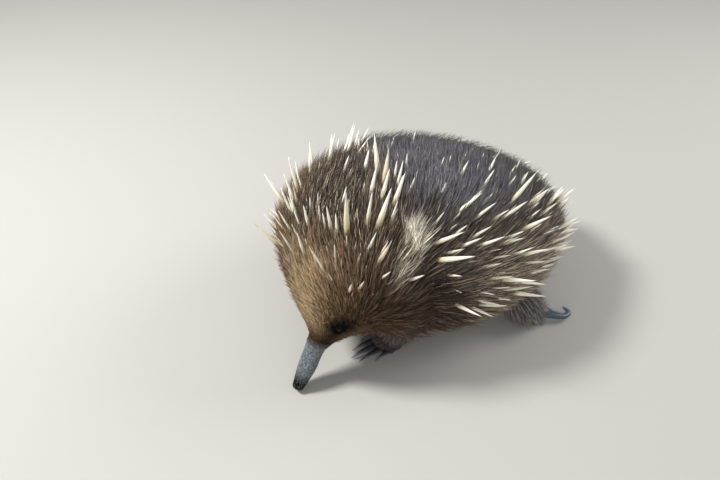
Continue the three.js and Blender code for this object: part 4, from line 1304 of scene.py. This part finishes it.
def makeLids(name, sign):
    outward, along, across = eyeSpots[sign][1:]
    turn = np.linspace(0, 2 * math.pi, 72, endpoint=False)
    almond = 1 - lids["almond"] * np.cos(2 * turn) ** 2
    radius = eyeSize["radius"] + lids["gap"]
    rings = []
    for share, out in lids["section"]:
        wide = lids["slit"][0] * share * np.cos(turn)
        tall = lids["slit"][1] * (1 + (share - 1) * 1.35) * np.sin(turn) * almond
        flat = np.minimum(np.hypot(wide, tall), radius * 0.96)
        height = np.sqrt(np.maximum(radius**2 - flat**2, 0)) + out
        rings.append(eyeCentres[sign] + along * wide[:, None] + across * tall[:, None]
                     + outward * height[:, None])
    rings = np.array(rings)
    points, faces = rings.reshape(-1, 3), wallFaces(*rings.shape[:2], closed=True)
    if enclosed(points, faces) < 0:
        faces = faces[:, ::-1]
    tone = np.repeat(linear(lids["tone"])[None], len(points), 0)
    lid = meshPiece(f"eyelids_{name}", points, faces, hide, tone)
    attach(lid, "root")


def makeEyes():
    for name, sign in (("left", 1), ("right", -1)):
        outward, along, across = eyeSpots[sign][1:]
        axes = np.array([along, across, outward])
        points, faces = ball(eyeCentres[sign], (eyeSize["radius"],) * 3, axes, 64, 40)
        piece = meshPiece(f"eyeball_{name}", points, faces, wetEye)
        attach(piece, "root")
        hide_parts(f"eye_{name}")
        makeLids(name, sign)


makeEyes()
print("eyes made")

# Ears: a narrow cup on each side, half hidden in the fur, its section up the outside and down the inside
ears = {
    "height": 7, "width": 2.8, "sunk": 7, "lip": 0.6, "tone": "#3a291d",
    "section": ((0.5, -9), (0.8, -5), (1.0, -1), (1.02, 1.6), (0.9, 2.4), (0.74, 1.6), (0.6, -0.6),
                (0.4, -2.6), (0.1, -3.4)),
}


def makeEars():
    turn = np.linspace(0, 2 * math.pi, 48, endpoint=False)
    for name, sign in (("left", 1), ("right", -1)):
        point, outward, along, across = earSpots[sign]
        root = point - outward * ears["sunk"]
        rings = []
        for share, out in ears["section"]:
            wide = ears["width"] * share * np.cos(turn)
            tall = ears["height"] * share * np.sin(turn)
            out = out - ears["lip"] * np.cos(turn) * smooth(-2, 2.4, out)
            rings.append(root + along * wide[:, None] + across * tall[:, None] + outward * out[:, None])
        points, faces = loft(np.array(rings))
        if enclosed(points, faces) < 0:
            faces = faces[:, ::-1]
        tone = np.repeat(linear(ears["tone"])[None], len(points), 0)
        piece = meshPiece(f"ear_cup_{name}", points, faces, hide, tone)
        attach(piece, "root")
        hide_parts(f"ear_{name}")


makeEars()
print("ears made")

# Claws: flattened horn with a blunt point, the second hind claw long and bent round
# The fore claws are painted darker than the hind ones, as shade under the head
clawTones = {"fore": ("#17181a", "#2c2f33", "#6c7176"), "hind": ("#232a31", "#44515d", "#8d99a2")}
clawForm = {"sides": 18, "steps": 40, "blunt": (0.86, 0.6, 0.12), "lowest": 0.3}


def clawPath(paw, index):
    length, _, height = clawSizes[paw["kind"]][index]
    if index == clawRanges[paw["kind"]]["hook"]:
        stops = ((-4, 0, 8.6), (0, 0, 8.5), (14, 0, 8), (26, 2, 6.4), (32, 9, 6), (27, 16, 6))
    else:
        stops = ((-4, 0, 6.4), (0, 0, 6.5), (length * 0.5, 0, 6), (length, 0, height * 0.25 + 1))
    return [clawPlace(paw, index, *stop) for stop in stops]


def clawSize(paw, index):
    _, width, height = clawSizes[paw["kind"]][index]
    hooked = index == clawRanges[paw["kind"]]["hook"]

    def size(share):
        taper = np.maximum(1 - (0.6 * share**3 if hooked else 0.82 * share**2.2), 0.1)
        taper[-3:] *= clawForm["blunt"]
        return width / 2 * taper, height / 2 * taper

    return size


def makeClaws():
    sides, steps = clawForm["sides"], clawForm["steps"]
    share = np.concatenate([np.repeat(np.linspace(0, 1, steps + 1), sides), [0, 1]])[:, None]
    for paw in paws:
        root, middle, end = np.array([linear(code) for code in clawTones[paw["kind"]]])
        side = "left" if paw["sign"] > 0 else "right"
        for index in range(5):
            points, faces = tube(clawPath(paw, index), sides, steps, clawSize(paw, index))
            points[:, 2] = np.maximum(points[:, 2], clawForm["lowest"])
            tone = mix(mix(root, middle, smooth(0, 0.5, share)), end, smooth(0.6, 1, share) * 0.7)
            piece = meshPiece(f"horn_{paw['kind']}_{side}_{index + 1}", points, faces, clawHorn, tone)
            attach(piece, "root")
            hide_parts(f"claw_{paw['kind']}_{side}_{index + 1}")


makeClaws()
print("claws made")

# Floor, lights as place, size and power, and the sky
studio = {
    "floor": "#b9b6b0", "sky": (0.97, 0.98, 1.0, 1), "skyStrength": 0.38, "centre": (0.0, 0.0, 0.08),
    "lights": {"key": ((-0.35, -0.95, 1.25), 0.36, 27), "fill": ((1.3, -0.5, 0.8), 1.2, 5.5),
               "back": ((0.1, 1.2, 0.9), 0.8, 9)},
}
# The photograph's camera, its place in the millimetres of the rows and its turns in degrees
view = {"place": (427.2, -213.2, 493.3), "turn": 70, "tilt": 42, "lens": 30, "sensor": 36, "clip": (0.01, 50)}


def makeFloor():
    mesh = bpy.data.meshes.new("floor")
    mesh.from_pydata([(-6, -6, 0), (6, -6, 0), (6, 6, 0), (-6, 6, 0)], [], [(0, 1, 2, 3)])
    material, _, shader = newMaterial("plain pale floor", {"Roughness": 0.85})
    shader.inputs["Base Color"].default_value = (*linear(studio["floor"]), 1)
    mesh.materials.append(material)
    floor = addObject("floor", mesh)


def makeLights():
    world = bpy.data.worlds.new("studio")
    world.use_nodes = True
    sky = world.node_tree.nodes["Background"].inputs
    sky["Color"].default_value = studio["sky"]
    sky["Strength"].default_value = studio["skyStrength"]
    bpy.context.scene.world = world
    for name, (place, size, power) in studio["lights"].items():
        light = bpy.data.lights.new(name, "AREA")
        light.shape, light.size, light.energy = "DISK", size, power
        lamp = addObject(name, light)
        lamp.location = place
        lamp.rotation_mode = "QUATERNION"
        lamp.rotation_quaternion = (Vector(studio["centre"]) - Vector(place)).to_track_quat("-Z", "Y")


def makeCamera():
    turn, tilt = view["turn"] * degree, view["tilt"] * degree
    right = Vector((math.cos(turn), math.sin(turn), 0))
    ahead = Vector((-math.sin(turn) * math.cos(tilt), math.cos(turn) * math.cos(tilt), -math.sin(tilt)))
    axes = Matrix((right, right.cross(ahead), -ahead)).transposed().to_4x4()
    data = bpy.data.cameras.new("camera")
    data.lens, data.sensor_width = view["lens"], view["sensor"]
    data.clip_start, data.clip_end = view["clip"]
    camera = addObject("camera", data)
    place = (np.array(view["place"]) + shift) * 0.001
    camera.matrix_world = Matrix.Translation(Vector(place.tolist())) @ axes
    bpy.context.scene.camera = camera


makeFloor()
makeLights()
makeCamera()
bpy.context.scene.view_settings.view_transform = "Standard"
bpy.context.view_layer.update()
print("floor, lights and camera placed")
